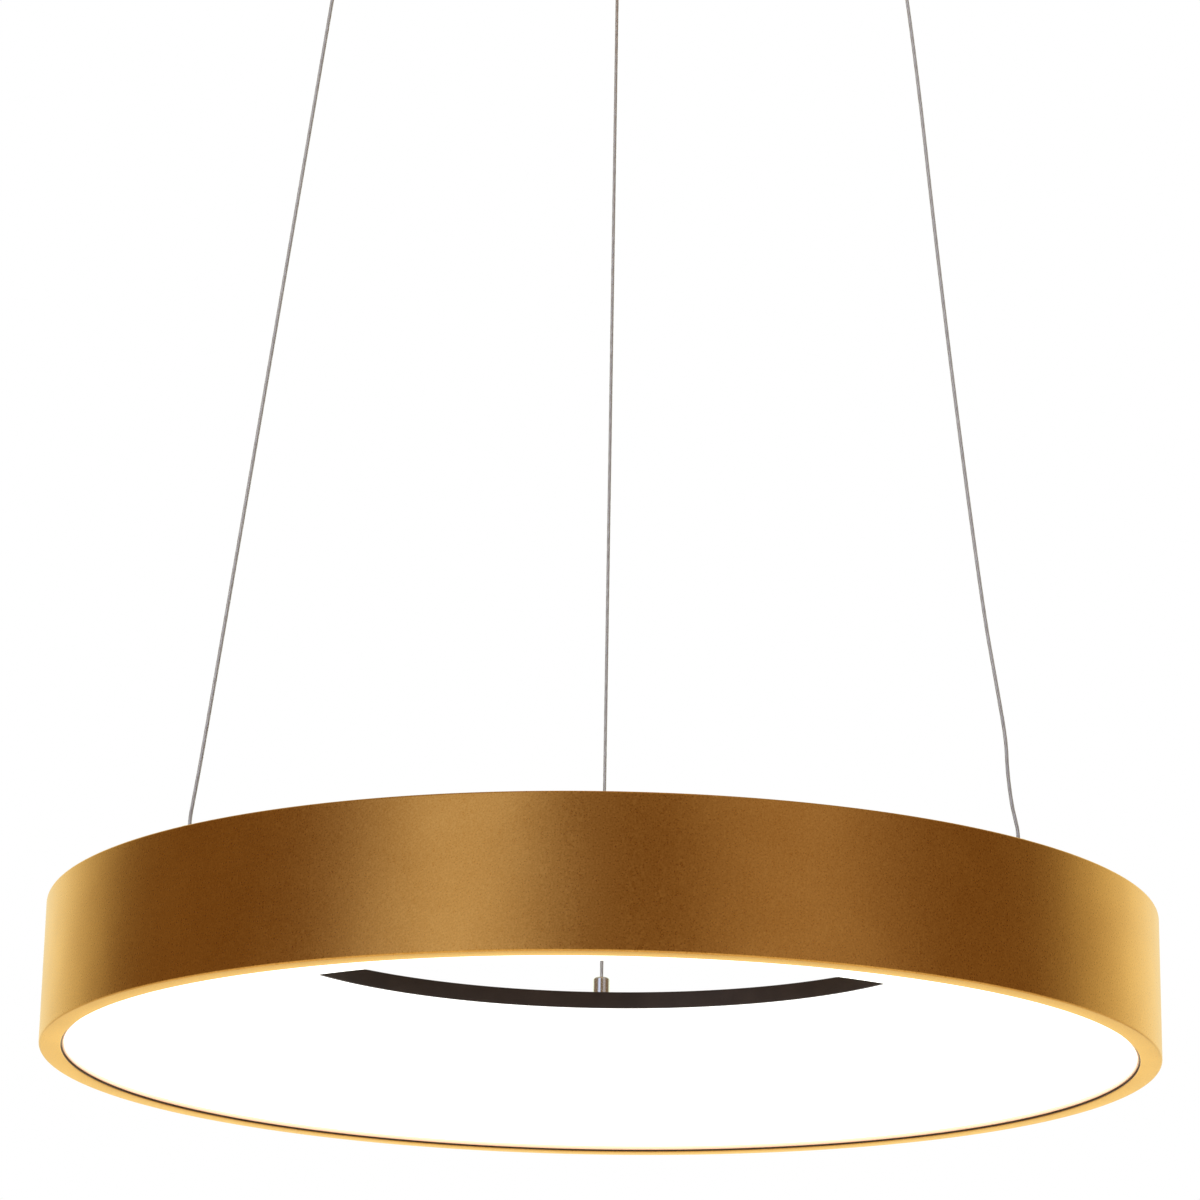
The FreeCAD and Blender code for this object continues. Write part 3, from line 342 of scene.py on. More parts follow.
def opal_finish():
    """Opal acrylic lit from inside. On the border's step, painted shade dims the glow and makes it
    creamier towards its lower edge, and the border is dark in the groove's shade.
    """
    deepest, shallowest = 0.98, 0.3
    made = Finish("opal", Roughness=0.35, Emission_Strength=1.15)
    radius, height = made.radius_and_height()
    step = made.math("GREATER_THAN", radius, DISH_R - SHADED_EDGE / 4)
    shaded = made.math("GREATER_THAN", radius, OPAL_R - SHADED_EDGE)
    depth = made.spread(height, deepest, shallowest, panel_low.z, DISH_Z)
    cloud = made.noise(18, detail=2.0)
    drift = made.math("MULTIPLY", made.math("SUBTRACT", cloud, 0.5), 0.06)
    # Painted shade on the step: its glow fades and its colour warms towards the lower edge
    painted_step_shade = made.math("MINIMUM", made.math("ADD", depth, drift), deepest)
    tone = made.math("MAXIMUM", made.math("MULTIPLY", painted_step_shade, step), shaded)
    # Each ramp: the panel, the step from its upper to its lower edge, dimmed and creamier there as
    # painted shade, and the shade
    glow = [
        (0.0, (1.0, 1.0, 0.97)),
        (0.1, (0.4, 0.38, 0.25)),
        (0.4, (0.23, 0.21, 0.11)),
        (0.7, (0.18, 0.1, 0.06)),
        (deepest, (0.1, 0.03, 0.01)),
        (1.0, (0.0, 0.0, 0.0)),
    ]
    body = [
        (0.0, (0.9, 0.89, 0.86)),
        (0.1, (0.9, 0.87, 0.78)),
        (0.4, (0.9, 0.8, 0.62)),
        (0.7, (0.9, 0.68, 0.47)),
        (deepest, (0.9, 0.56, 0.37)),
        (1.0, (0.22, 0.09, 0.03)),
    ]
    made.link(made.ramp(tone, glow), made.shader.inputs["Emission Color"])
    made.colour(made.ramp(tone, body))
    made.bump(made.noise(900), 0.005 * MM)
    return made.material


def chrome_finish():
    """Polished chrome with the faint turning marks of a small turned part."""
    made = Finish("chrome", Metallic=0.85)
    rings = made.noise(500, detail=1.0, stretch=(0.05, 0.05, 6.0))
    made.colour(made.ramp(rings, [(0.3, (0.86, 0.86, 0.8)), (0.7, (0.93, 0.93, 0.88))]))
    made.rough(made.spread(rings, 0.03, 0.07))
    made.bump(rings, 0.002 * MM)
    return made.material


def strand_finish():
    """A twisted steel cable under a clear sheath, its furrows painted darker as shade and its crests
    painted lighter as highlight.
    """
    strands, lay = 7, 9 * MM
    # Painted shade in the furrows between strands, a painted highlight on the crests
    shaded_furrow, side, lit_crest = (0.4, 0.395, 0.39), (0.62, 0.61, 0.6), (0.85, 0.84, 0.82)
    ridge_share = 0.6
    made = Finish("cable_strand", Metallic=0.35, Coat_Weight=0.6, Coat_Roughness=0.15)
    turn, length = made.round_and_along()
    around = made.math("MULTIPLY", turn, strands)
    along = made.math("DIVIDE", length, lay)
    wave = made.math("SINE", made.math("MULTIPLY", made.math("ADD", around, along), 2 * math.pi))
    ridge = made.spread(wave, 0, 1, -1, 1)
    wander = made.noise(260, detail=2.0)
    wander_part = made.math("MULTIPLY", wander, 1 - ridge_share)
    tone = made.math("ADD", made.math("MULTIPLY", ridge, ridge_share), wander_part)
    made.colour(made.ramp(tone, [(0.2, shaded_furrow), (0.5, side), (0.9, lit_crest)]))
    made.rough(made.spread(wander, 0.28, 0.42))
    made.bump(ridge, 0.1 * MM, 0.6)
    return made.material


def striped_finish(name, first, second):
    """Insulation of two colours in stripes along the lead."""
    stripes, first_share = 2, 0.62
    made = Finish(name, Roughness=0.42)
    turn, _ = made.round_and_along()
    around = made.math("FRACT", made.math("MULTIPLY", turn, stripes))
    stripe = made.math("GREATER_THAN", around, first_share)
    made.colour(made.ramp(stripe, [(0.0, first), (1.0, second)]))
    made.bump(made.noise(1500), 0.01 * MM)
    return made.material


def board_finish():
    """White solder mask over copper tracks that run round the ring."""
    track_pitch = 9 * MM
    bare, over_track = (0.86, 0.86, 0.84), (0.78, 0.79, 0.76)
    made = Finish("solder_mask", Roughness=0.4)
    radius, _ = made.radius_and_height()
    tracks = made.math("SINE", made.math("MULTIPLY", radius, 2 * math.pi / track_pitch))
    made.colour(made.ramp(made.spread(tracks, 0, 1, 0.2, 0.5), [(0.0, bare), (1.0, over_track)]))
    made.bump(tracks, 0.03 * MM)
    return made.material


def circuit_finish():
    """Green board with solder points scattered over it."""
    solder, green = (0.5, 0.42, 0.2), (0.03, 0.16, 0.07)
    made = Finish("circuit_green", Roughness=0.45)
    cells = made.add("ShaderNodeTexVoronoi")
    cells.inputs["Scale"].default_value = 260
    made.link(made.coordinates["Object"], cells.inputs["Vector"])
    made.colour(made.ramp(cells.outputs["Distance"], [(0.1, solder), (0.16, green)]))
    made.bump(cells.outputs["Distance"], 0.03 * MM)
    return made.material


def make_finishes():
    """All finishes by name."""
    black = dict(roughness=(0.45, 0.58), grain=1100, depth_mm=0.02, Specular_IOR_Level=0.35)
    groove_shade = dict(roughness=(0.5, 0.65), grain=1300, depth_mm=0.01, Specular_IOR_Level=0.3)
    soft = dict(roughness=(0.38, 0.5), grain=1400, depth_mm=0.015)
    waxy = dict(soft, Subsurface_Weight=0.2)
    lit = dict(soft, Emission_Strength=1.5)
    metal = dict(roughness=(0.25, 0.42), grain=900, depth_mm=0.01, Metallic=1.0)
    return {
        "gold": gold_finish(),
        "opal": opal_finish(),
        "chrome": chrome_finish(),
        "strand": strand_finish(),
        "solder_mask": board_finish(),
        "circuit": circuit_finish(),
        # Dark browns for the rim's inner face: painted shade of the groove
        "painted_groove_shade": grained("painted_groove_shade", (0.07, 0.035, 0.015), (0.11, 0.06, 0.028), **groove_shade),
        "black": grained("black_paint", (0.02, 0.0105, 0.006), (0.03, 0.017, 0.0105), **black),
        "black_screw": grained("black_oxide", (0.02, 0.02, 0.021), (0.05, 0.05, 0.052), **metal),
        "zinc": grained("zinc_plate", (0.5, 0.51, 0.53), (0.66, 0.66, 0.67), stretch=(1, 8, 8), **metal),
        "steel": grained("screw_steel", (0.45, 0.45, 0.46), (0.62, 0.62, 0.62), **metal),
        "brass": grained("turned_brass", (0.62, 0.43, 0.16), (0.78, 0.58, 0.26), **metal),
        "crimp": grained("crimp_aluminium", (0.6, 0.61, 0.62), (0.78, 0.78, 0.79), **metal),
        "spring": grained("spring_steel", (0.4, 0.4, 0.42), (0.55, 0.55, 0.57), **metal),
        "driver": grained("driver_plastic", (0.76, 0.76, 0.74), (0.82, 0.82, 0.8), **soft),
        "nylon": grained("nylon", (0.74, 0.72, 0.63), (0.82, 0.8, 0.72), **waxy),
        "winding": grained("winding_tape", (0.75, 0.55, 0.06), (0.85, 0.66, 0.12), **soft),
        "capacitor": grained("capacitor_sleeve", (0.03, 0.035, 0.05), (0.06, 0.07, 0.09), **soft),
        "phosphor": grained("phosphor", (0.9, 0.7, 0.2), (0.95, 0.8, 0.35), **lit),
        "brown": grained("brown_insulation", (0.12, 0.05, 0.02), (0.17, 0.075, 0.03), **soft),
        "blue": grained("blue_insulation", (0.03, 0.1, 0.42), (0.05, 0.15, 0.52), **soft),
        "red": grained("red_insulation", (0.45, 0.02, 0.015), (0.56, 0.04, 0.03), **soft),
        "sooty": grained("black_insulation", (0.02, 0.02, 0.02), (0.035, 0.035, 0.035), **soft),
        "white": grained("white_insulation", (0.78, 0.78, 0.76), (0.85, 0.85, 0.83), **soft),
        "earth": striped_finish("earth_insulation", (0.12, 0.42, 0.06), (0.85, 0.75, 0.08)),
    }


# Geometry


def new_object(name, verts, faces, finish, uvs=None, smooth=True):
    """A mesh in one finish, with its edges sharp where faces meet at more than SHARP."""
    mesh = bpy.data.meshes.new(name)
    mesh.from_pydata([tuple(v) for v in verts], [], faces)
    if uvs is not None:
        layer = mesh.uv_layers.new(name="UVMap")
        for loop, uv in zip(layer.data, uvs):
            loop.uv = uv
    mesh.materials.append(finish)
    for polygon in mesh.polygons:
        polygon.use_smooth = smooth
    mesh.validate()
    mesh.update()
    if smooth:
        mesh.set_sharp_from_angle(angle=SHARP)
    obj = bpy.data.objects.new(name, mesh)
    bpy.context.collection.objects.link(obj)
    return obj


def rounded(corners):
    """A polyline through corners (r, z) or (r, z, rounding), in metres, with its arcs stepped."""
    line = []
    count = len(corners)
    for k, corner in enumerate(corners):
        at = Vector(corner[:2])
        if len(corner) < 3:
            line.append(at)
            continue
        into = (at - Vector(corners[k - 1][:2])).normalized()
        out = (Vector(corners[(k + 1) % count][:2]) - at).normalized()
        half = into.angle(out) / 2
        reach = corner[2] * math.tan(half)
        start, end = at - into * reach, at + out * reach
        centre = at + (out - into).normalized() * (corner[2] / math.cos(half))
        for step in range(ARC_STEPS + 1):
            share = step / ARC_STEPS
            spoke = (start - centre).slerp(end - centre, share)
            line.append(centre + spoke.normalized() * corner[2])
    return line


def lathe(name, corners, finish, steps=SMALL_STEPS, centre=(0.0, 0.0)):
    """The closed outline of corners turned about the upright line through centre."""
    line = rounded(corners)
    count = len(line)
    verts = []
    for step in range(steps):
        turn = 2 * math.pi * step / steps
        for point in line:
            x = centre[0] + point.x * math.cos(turn)
            y = centre[1] + point.x * math.sin(turn)
            verts.append((x, y, point.y))
    faces = []
    for step in range(steps):
        here, there = step * count, (step + 1) % steps * count
        for k in range(count):
            following = (k + 1) % count
            faces.append((here + k, here + following, there + following, there + k))
    obj = new_object(name, verts, faces, finish)
    tidy_mesh(obj)
    return obj


def tidy_mesh(obj):
    """Merges points that lie together, such as those on the axis, and turns all faces outward."""
    work = bmesh.new()
    work.from_mesh(obj.data)
    bmesh.ops.remove_doubles(work, verts=work.verts, dist=1e-6)
    bmesh.ops.recalc_face_normals(work, faces=work.faces)
    work.to_mesh(obj.data)
    work.free()
    obj.data.set_sharp_from_angle(angle=SHARP)


def smooth_line(points, per_span=16):
    """Points along the smooth line that has the route's points as its control points."""
    curve = bpy.data.curves.new("route", "CURVE")
    curve.dimensions = "3D"
    curve.resolution_u = per_span
    spline = curve.splines.new("NURBS")
    spline.points.add(len(points) - 1)
    for control, point in zip(spline.points, points):
        control.co = (*point, 1)
    spline.order_u = 3
    spline.use_endpoint_u = True
    obj = bpy.data.objects.new("route", curve)
    mesh = bpy.data.meshes.new_from_object(obj)
    line = [v.co.copy() for v in mesh.vertices]
    bpy.data.meshes.remove(mesh)
    bpy.data.objects.remove(obj)
    bpy.data.curves.remove(curve)
    return line


def tube(name, line, radius, finish, sides=16):
    """A round tube along a line, with closed ends. Its own coordinates run round and along it."""
    verts = []
    lengths = [0.0]
    for before, after in zip(line, line[1:]):
        lengths.append(lengths[-1] + (after - before).length)
    ahead = (line[1] - line[0]).normalized()
    side = ahead.orthogonal().normalized()
    for k, point in enumerate(line):
        following = (line[min(k + 1, len(line) - 1)] - line[max(k - 1, 0)]).normalized()
        side = ahead.rotation_difference(following) @ side
        ahead = following
        other = ahead.cross(side)
        for step in range(sides):
            turn = 2 * math.pi * step / sides
            verts.append(point + radius * (math.cos(turn) * side + math.sin(turn) * other))
    faces = []
    uvs = []
    for k in range(len(line) - 1):
        here, there = k * sides, (k + 1) * sides
        for step in range(sides):
            following = (step + 1) % sides
            faces.append((here + step, here + following, there + following, there + step))
            near, far = step / sides, (step + 1) / sides
            low, high = lengths[k], lengths[k + 1]
            uvs += [(near, low), (far, low), (far, high), (near, high)]
    last = (len(line) - 1) * sides
    faces.append(tuple(reversed(range(sides))))
    faces.append(tuple(range(last, last + sides)))
    uvs += [(0.0, 0.0)] * (2 * sides)
    return new_object(name, verts, faces, finish, uvs)


def box(name, low, high, finish, rounding):
    """A box with all its edges rounded."""
    ends_x, ends_y, ends_z = zip(low, high)
    verts = [(x, y, z) for z in ends_z for y in ends_y for x in ends_x]
    faces = [(0, 2, 3, 1), (4, 5, 7, 6), (0, 1, 5, 4), (1, 3, 7, 5), (3, 2, 6, 7), (2, 0, 4, 6)]
    obj = new_object(name, verts, faces, finish)
    work = bmesh.new()
    work.from_mesh(obj.data)
    bmesh.ops.bevel(work, geom=work.edges[:], offset=rounding, segments=3, profile=0.5, affect="EDGES")
    work.to_mesh(obj.data)
    work.free()
    return obj


def joined(name, objects):
    """Joins several objects into the first, which takes the name."""
    bpy.ops.object.select_all(action="DESELECT")
    for obj in objects:
        obj.select_set(True)
    bpy.context.view_layer.objects.active = objects[0]
    bpy.ops.object.join()
    objects[0].name = name
    return objects[0]


def place(obj, body, *nodes):
    """Makes a piece ride on a body and stand for CAD nodes."""
    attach(obj, body)
    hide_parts(*nodes)


# Free points of the cables' routes in millimetres: distance from the ring's axis, height above the rim
CABLE_ROUTES = (
    [(186.0, 586.0)],
    [(240.8, 145.0), (183.6, 586.0)],
    [
        (243.4, 119.0),
        (241.3, 137.0),
        (240.9, 153.0),
        (236.5, 180.0),
        (227.9, 231.0),
        (207.1, 403.0),
        (188.8, 585.0),
    ],
)
LEAVES_BARREL = 4 * MM
LEAVES_GRIPPER = 8 * MM
BY_THE_MOUTH = 12 * MM
CABLE_SPAN_STEPS = 48
SEAM_Z = cable_high.z


def make_cables(finish):
    """Taut cables from the ring's barrels up into the grippers. They shorten when the ring is raised."""
    for number, azimuth in enumerate(AZIMUTHS, 1):
        route = CABLE_ROUTES[number - 1]
        start = on_circle(CABLE_RING_R, azimuth, ferrule_high.z)
        leaves = on_circle(CABLE_RING_R, azimuth, BARREL_TOP + LEAVES_BARREL)
        free = [on_circle(radius * MM, azimuth, RIM_Z + height * MM) for radius, height in route]
        enters = on_circle(CABLE_CANOPY_R, azimuth, MOUTH_Z - LEAVES_GRIPPER)
        end = on_circle(CABLE_CANOPY_R, azimuth, SEAM_Z)
        after = leaves + (free[0] - leaves).normalized() * (leaves - start).length
        before = enters + (free[-1] - enters).normalized() * BY_THE_MOUTH
        points = [start, leaves, after, *free, before, enters, end]
        line = smooth_line(points, per_span=CABLE_SPAN_STEPS)
        cable = tube(f"suspension_cable_{number}", line, CABLE_R, finish)
        place(cable, "suspension", f"cable_{number}")
        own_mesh(cable)


def make_band(finish, groove_shade_finish):
    """The gold band. The inner face of its rim, which faces the groove, is painted dark as the groove's
    shade.
    """
    inner = RING_R - WALL
    corners = [
        (RIM_IN_R, RIM_Z, EDGE / 2),
        (RING_R, RIM_Z, EDGE),
        (RING_R, BAND_TOP, EDGE),
        (RING_R - TOP_FLANGE, BAND_TOP),
        (RING_R - TOP_FLANGE, BAND_TOP - WALL),
        (inner, BAND_TOP - WALL),
        (inner, RIM_Z + WALL),
        (RIM_IN_R, RIM_Z + WALL, EDGE / 4),
    ]
    band = lathe("band", corners, finish, RING_STEPS)
    band.data.materials.append(groove_shade_finish)
    # Faces at the rim's inner edge take the groove's painted shade
    for polygon in band.data.polygons:
        if polygon.center.xy.length < RIM_IN_R + GROOVE_SHADE_REACH:
            polygon.material_index = 1
    place(band, "ring", "gold_band")


def make_trim(finish):
    """The dark lip round the hole, with its flange on the top plate."""
    outer = HOLE_R + WALL
    corners = [
        (HOLE_R, trim_low.z, EDGE / 4),
        (outer, trim_low.z),
        (outer, PLATE_TOP),
        (outer + TRIM_LEG, PLATE_TOP),
        (outer + TRIM_LEG, TRIM_TOP, EDGE / 4),
        (HOLE_R, TRIM_TOP, EDGE),
    ]
    place(lathe("lip", corners, finish, RING_STEPS), "ring", "inner_trim_ring")


def make_panel(finish):
    """The opal dish with its steep inner wall, its border and the lip that lies on the band's rim."""
    border_z = panel_low.z
    corner_r, corner_z = DISH_R - OPAL_FLAT, DISH_Z + OPAL_RISE
    wall_r = HOLE_R + WALL + OPAL_WALL_PLAY
    top_z = panel_high.z
    bend_z = top_z - OPAL_TOP_STRAIGHT
    dish = [
        (OPAL_R, border_z, OPAL_BORDER_R),
        (OPAL_R, DISH_Z + OPAL_T),
        (corner_r + OPAL_T / 2, corner_z + OPAL_T, OPAL_CORNER_R - OPAL_T),
        (wall_r + OPAL_T, bend_z, OPAL_TOP_BEND_R + OPAL_T),
        (wall_r + OPAL_T, top_z),
        (wall_r, top_z),
        (wall_r, bend_z, OPAL_TOP_BEND_R),
        (corner_r, corner_z, OPAL_CORNER_R),
        (DISH_R, DISH_Z),
        (DISH_R, border_z, OPAL_BORDER_R),
    ]
    lip_low = RIM_Z + WALL
    lip_in = OPAL_R - OPAL_BORDER / 2
    lip = [
        (lip_in, lip_low),
        (panel_high.x, lip_low),
        (panel_high.x, lip_low + OPAL_T),
        (lip_in, lip_low + OPAL_T),
    ]
    pieces = [
        lathe("opal_dish", dish, finish, RING_STEPS),
        lathe("opal_lip", lip, finish, RING_STEPS),
    ]
    place(joined("opal_panel", pieces), "ring", "diffuser")


def make_barrels(finish):
    """The three small barrels on the ring that the cables leave."""
    for number, azimuth in enumerate(AZIMUTHS, 1):
        spot = on_circle(CABLE_RING_R, azimuth, 0)
        corners = [
            (CABLE_BORE, PLATE_TOP),
            (BARREL_R - BARREL_FOOT_IN, PLATE_TOP),
            (BARREL_R - BARREL_FOOT_IN, PLATE_TOP + BARREL_FOOT_H),
            (BARREL_R, PLATE_TOP + BARREL_FOOT_H + BARREL_FOOT_IN, FINE_EDGE),
            (BARREL_R, BARREL_TOP, BARREL_CROWN_R),
            (CABLE_BORE + COUNTERSINK, BARREL_TOP, FINE_EDGE),
            (CABLE_BORE, BARREL_TOP - COUNTERSINK_DEPTH),
        ]
        barrel = lathe(f"barrel_{number}", corners, finish, centre=(spot.x, spot.y))
        place(barrel, "ring", f"cable_barrel_{number}")


def gripper_outline():
    """The body from its neck in the canopy down to the lip that traps the nipple, and its cavity."""
    lip_low = body_low.z
    cavity_low = lip_low + GRIPPER_LIP - NIPPLE_PLAY
    groove_r = GRIPPER_R - GRIP_GROOVE_DEPTH
    groove_top = FLOOR_LOW - GRIP_GROOVE_BELOW
    groove_low = groove_top - GRIP_GROOVE_H
    return [
        (CABLE_BORE, body_high.z),
        (NECK_R - NECK_CHAMFER, body_high.z, FINE_EDGE),
        (NECK_R, body_high.z - NECK_CHAMFER),
        (NECK_R, FLOOR_LOW),
        (GRIPPER_R, FLOOR_LOW, FINE_EDGE),
        (GRIPPER_R, groove_top, FINE_EDGE),
        (groove_r, groove_top - FINE_EDGE, FINE_EDGE / 2),
        (groove_r, groove_low + FINE_EDGE, FINE_EDGE / 2),
        (GRIPPER_R, groove_low, FINE_EDGE),
        (GRIPPER_R, lip_low, GRIPPER_EDGE_R),
        (NIPPLE_R + NIPPLE_PLAY, lip_low, FINE_EDGE / 2),
        (NIPPLE_R + NIPPLE_PLAY, cavity_low),
        (NIPPLE_HEAD_R + NIPPLE_PLAY, cavity_low),
        (NIPPLE_HEAD_R + NIPPLE_PLAY, spring_high.z),
        (CABLE_BORE, spring_high.z),
    ]


def nipple_outline():
    """The nipple from its mouth up to its wider head."""
    head_low = body_low.z + GRIPPER_LIP
    return [
        (CABLE_BORE, MOUTH_Z, FINE_EDGE),
        (NIPPLE_R, MOUTH_Z, NIPPLE_EDGE_R),
        (NIPPLE_R, head_low),
        (NIPPLE_HEAD_R, head_low),
        (NIPPLE_HEAD_R, nipple_high.z),
        (CABLE_BORE, nipple_high.z),
    ]


def spring_line(spot):
    """The helix of the spring's wire."""
    coil_r = (spring_high.x - spring_low.x) / 2 - SPRING_WIRE_R
    start = spot + Vector((0, 0, spring_low.z + SPRING_WIRE_R))
    height = spring_high.z - spring_low.z - 2 * SPRING_WIRE_R
    steps = SPRING_TURNS * STEPS_PER_TURN
    return [
        start + on_circle(coil_r, 360 * k / STEPS_PER_TURN, height * k / steps)
        for k in range(steps + 1)
    ]


def make_grippers(chrome, steel):
    """Gripper bodies, nipples and springs. A spring shortens when its nipple is pressed."""
    for number, azimuth in enumerate(AZIMUTHS, 1):
        spot = on_circle(CABLE_CANOPY_R, azimuth, 0)
        centre = (spot.x, spot.y)
        body = lathe(f"gripper_{number}", gripper_outline(), chrome, centre=centre)
        place(body, "canopy", f"gripper_body_{number}")
        nipple = lathe(f"nipple_tip_{number}", nipple_outline(), chrome, centre=centre)
        place(nipple, f"nipple_{number}", f"gripper_nipple_{number}")
        coil = tube(f"spring_coil_{number}", spring_line(spot), SPRING_WIRE_R, steel, sides=8)
        place(coil, "canopy", f"gripper_spring_{number}")
        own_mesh(coil)


def make_cup(finish):
    """The canopy's cup, with the two bosses that carry the driver."""
    floor = FLOOR_LOW + WALL
    corners = [
        (0, FLOOR_LOW),
        (CANOPY_R, FLOOR_LOW, CUP_EDGE_R),
        (CANOPY_R, 0),
        (CANOPY_R - WALL, 0),
        (CANOPY_R - WALL, floor, CUP_EDGE_R - WALL),
        (0, floor),
    ]
    pieces = [lathe("cup_shell", corners, finish, RING_STEPS)]
    ear_x = base_high.x - EAR_INSET
    middle_y = (base_low.y + base_high.y) / 2
    boss = [(BOSS_BORE_R, floor), (BOSS_R, floor), (BOSS_R, base_low.z), (BOSS_BORE_R, base_low.z)]
    for side in (-1, 1):
        pieces.append(lathe("cup_boss", boss, finish, centre=(side * ear_x, middle_y)))
    place(joined("cup", pieces), "canopy", "canopy_cup")


# Colour, length in metres and route in millimetres of each of the canopy's leads
CANOPY_LEADS = {
    "live_lead": (
        "brown",
        0.138,
        [
            (-47, 29, -31.7),
            (-47, 10, -31.7),
            (-67, -10, -28.7),
            (-100, -26, -23),
            (-96, -57, -23),
            (-64, -57, -23),
        ],
    ),
    "neutral_lead": (
        "blue",
        0.124,
        [
            (-37, 29, -31.7),
            (-37, 10, -31.7),
            (-57, -10, -28.7),
            (-92, -26, -23),
            (-88, -47, -23),
            (-64, -47, -23),
        ],
    ),
    "earth_lead": (
        "earth",
        0.070,
        [
            (-27, 29, -31.7),
            (-27, 14, -31.7),
            (-8, 11, -24.7),
            (2, 3, -10.5),
            (7.5, 0, -3.5),
            (17, 0, -3.5),
        ],
    ),
    "output_lead_minus": (
        "sooty",
        0.100,
        [
            (142.9, -82.5, -19),
            (142.9, -82.5, -8),
            (128.9, -72.5, -13),
            (96, -47, -20),
            (86, -47, -23),
            (64, -47, -23),
        ],
    ),
    "output_lead_plus": (
        "red",
        0.288,
        [
            (-142.9, -82.5, -19),
            (-142.9, -82.5, -8),
            (-128.9, -92.5, -13),
            (-60, -88, -20),
            (0, -92, -26),
            (60, -88, -20),
            (90, -80, -20),
            (90, -57, -23),
            (64, -57, -23),
        ],
    ),
}


def make_canopy_leads(finishes):
    """The leads between the mains block, the driver, the bracket and the cables' tails."""
    for node, (colour, length, route) in CANOPY_LEADS.items():
        line = smooth_line([Vector(point) * MM for point in route])
        lead = tube(node.replace("lead", "wire"), line, LEAD_R, finishes[colour])
        place(lead, "canopy", node)


def make_earth_lug(finish):
    """A ring lug under the bracket, with its neck crimped round the earth lead."""
    low = LUG_TOP - LUG_T
    ring = [
        (LUG_BORE_R, low, FINE_EDGE / 2),
        (LUG_R, low, FINE_EDGE),
        (LUG_R, LUG_TOP, FINE_EDGE),
        (LUG_BORE_R, LUG_TOP, FINE_EDGE / 2),
    ]
    neck_from = (LUG_NECK_FROM, -LUG_NECK_HALF_W, low)
    neck_to = (LUG_NECK_TO, LUG_NECK_HALF_W, LUG_TOP)
    neck = box("neck", neck_from, neck_to, finish, FINE_EDGE)
    lug = joined("earth_lug", [lathe("eye", ring, finish, centre=(LUG_X, 0.0)), neck])
    place(lug, "canopy", "earth_lead")


def make_driver_lid(finish):
    """The lid with rounded edges and a plate let into its top."""
    shell = box("driver_cover", lid_low, lid_high, finish, LID_EDGE_R)
    work = bmesh.new()
    work.from_mesh(shell.data)
    top = max(work.faces, key=lambda face: (round(face.normal.z, 3), face.calc_area()))
    bmesh.ops.inset_region(work, faces=[top], thickness=LID_PLATE_INSET, depth=0)
    bmesh.ops.inset_region(work, faces=[top], thickness=LID_GROOVE_W, depth=-LID_GROOVE_DEPTH)
    work.to_mesh(shell.data)
    work.free()
    shell.data.set_sharp_from_angle(angle=SHARP)
    place(shell, "canopy", "driver_lid")


make_camera()
finishes = make_finishes()
make_cables(finishes["strand"])
make_band(finishes["gold"], finishes["painted_groove_shade"])
make_trim(finishes["black"])
make_panel(finishes["opal"])
make_barrels(finishes["chrome"])
make_grippers(finishes["chrome"], finishes["spring"])
make_cup(finishes["gold"])
make_canopy_leads(finishes)
make_earth_lug(finishes["crimp"])
make_driver_lid(finishes["driver"])

# Finishes of the CAD nodes that are shown as they are
CARRIED = {
    "black": ["top_plate"],
    "black_screw": ["trim_screws", "top_screws"],
    "steel": ["board_screws", "driver_screws", "gripper_balls_1", "gripper_balls_2", "gripper_balls_3"],
    "zinc": ["weld_nuts", "stud_washers", "stud_nuts", "gripper_nuts", "ceiling_bracket"],
    "brass": ["hollow_studs", "terminal_screws", "earth_screw"],
    "crimp": ["cable_ferrules", "cable_crimps"],
    "strand": ["cable_tails"],
    "solder_mask": ["led_board_1", "led_board_2", "led_board_3"],
    "phosphor": ["leds_1", "leds_2", "leds_3"],
    "gold": ["canopy_thumb_screws"],
    "driver": ["driver_base"],
    "circuit": ["driver_board"],
    "winding": ["driver_transformer"],
    "capacitor": ["driver_capacitors"],
    "nylon": ["terminal_block"],
    "red": ["feed_lead_plus"],
    "sooty": ["feed_lead_minus"],
    "white": ["jumper_leads"],
}
for finish_name, nodes in CARRIED.items():
    for node in nodes:
        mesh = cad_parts[node].data
        mesh.materials.clear()
        mesh.materials.append(finishes[finish_name])


def make_floor():
    """A pale floor far below, for the studio only."""
    darker, lighter = (0.84, 0.84, 0.83), (0.88, 0.88, 0.87)
    made = Finish("pale_floor", Roughness=0.6)
    made.colour(made.ramp(made.noise(1.5), [(0.3, darker), (0.7, lighter)]))
    verts = [(-FLOOR_HALF, -FLOOR_HALF, FLOOR_Z), (FLOOR_HALF, -FLOOR_HALF, FLOOR_Z)]
    verts += [(FLOOR_HALF, FLOOR_HALF, FLOOR_Z), (-FLOOR_HALF, FLOOR_HALF, FLOOR_Z)]
    new_object("floor", verts, [(0, 1, 2, 3)], made.material, smooth=False)


# Studio surroundings seen in the reflections: a dim warm room, two soft boxes towards the camera and
# a pale backdrop behind the ring, brightest at its middle. Each stop is a compass angle in degrees,
# from -Y towards +X, and a tone.
ROOM = (0.175, 0.104, 0.046)
RIGHT_BOX = (0.42, 0.36, 0.36)
LEFT_BOX = (0.72, 0.78, 1.05)
BACKDROP = (1.2, 1.27, 1.08)
BEHIND = (1.6, 1.54, 0.95)
STUDIO = [
    (0, ROOM),
    (16, ROOM),
    (30, RIGHT_BOX),
    (44, RIGHT_BOX),
    (68, ROOM),
    (100, ROOM),
    (142, BACKDROP),
    (166, BACKDROP),
    (172, BEHIND),
    (188, BEHIND),
    (194, BACKDROP),
    (214, BACKDROP),
    (248, ROOM),
    (304, ROOM),
    (326, LEFT_BOX),
    (338, LEFT_BOX),
    (354, ROOM),
]
BELOW = (1.0, 0.97, 0.92)
LEVEL = (1.0, 1.0, 1.0)
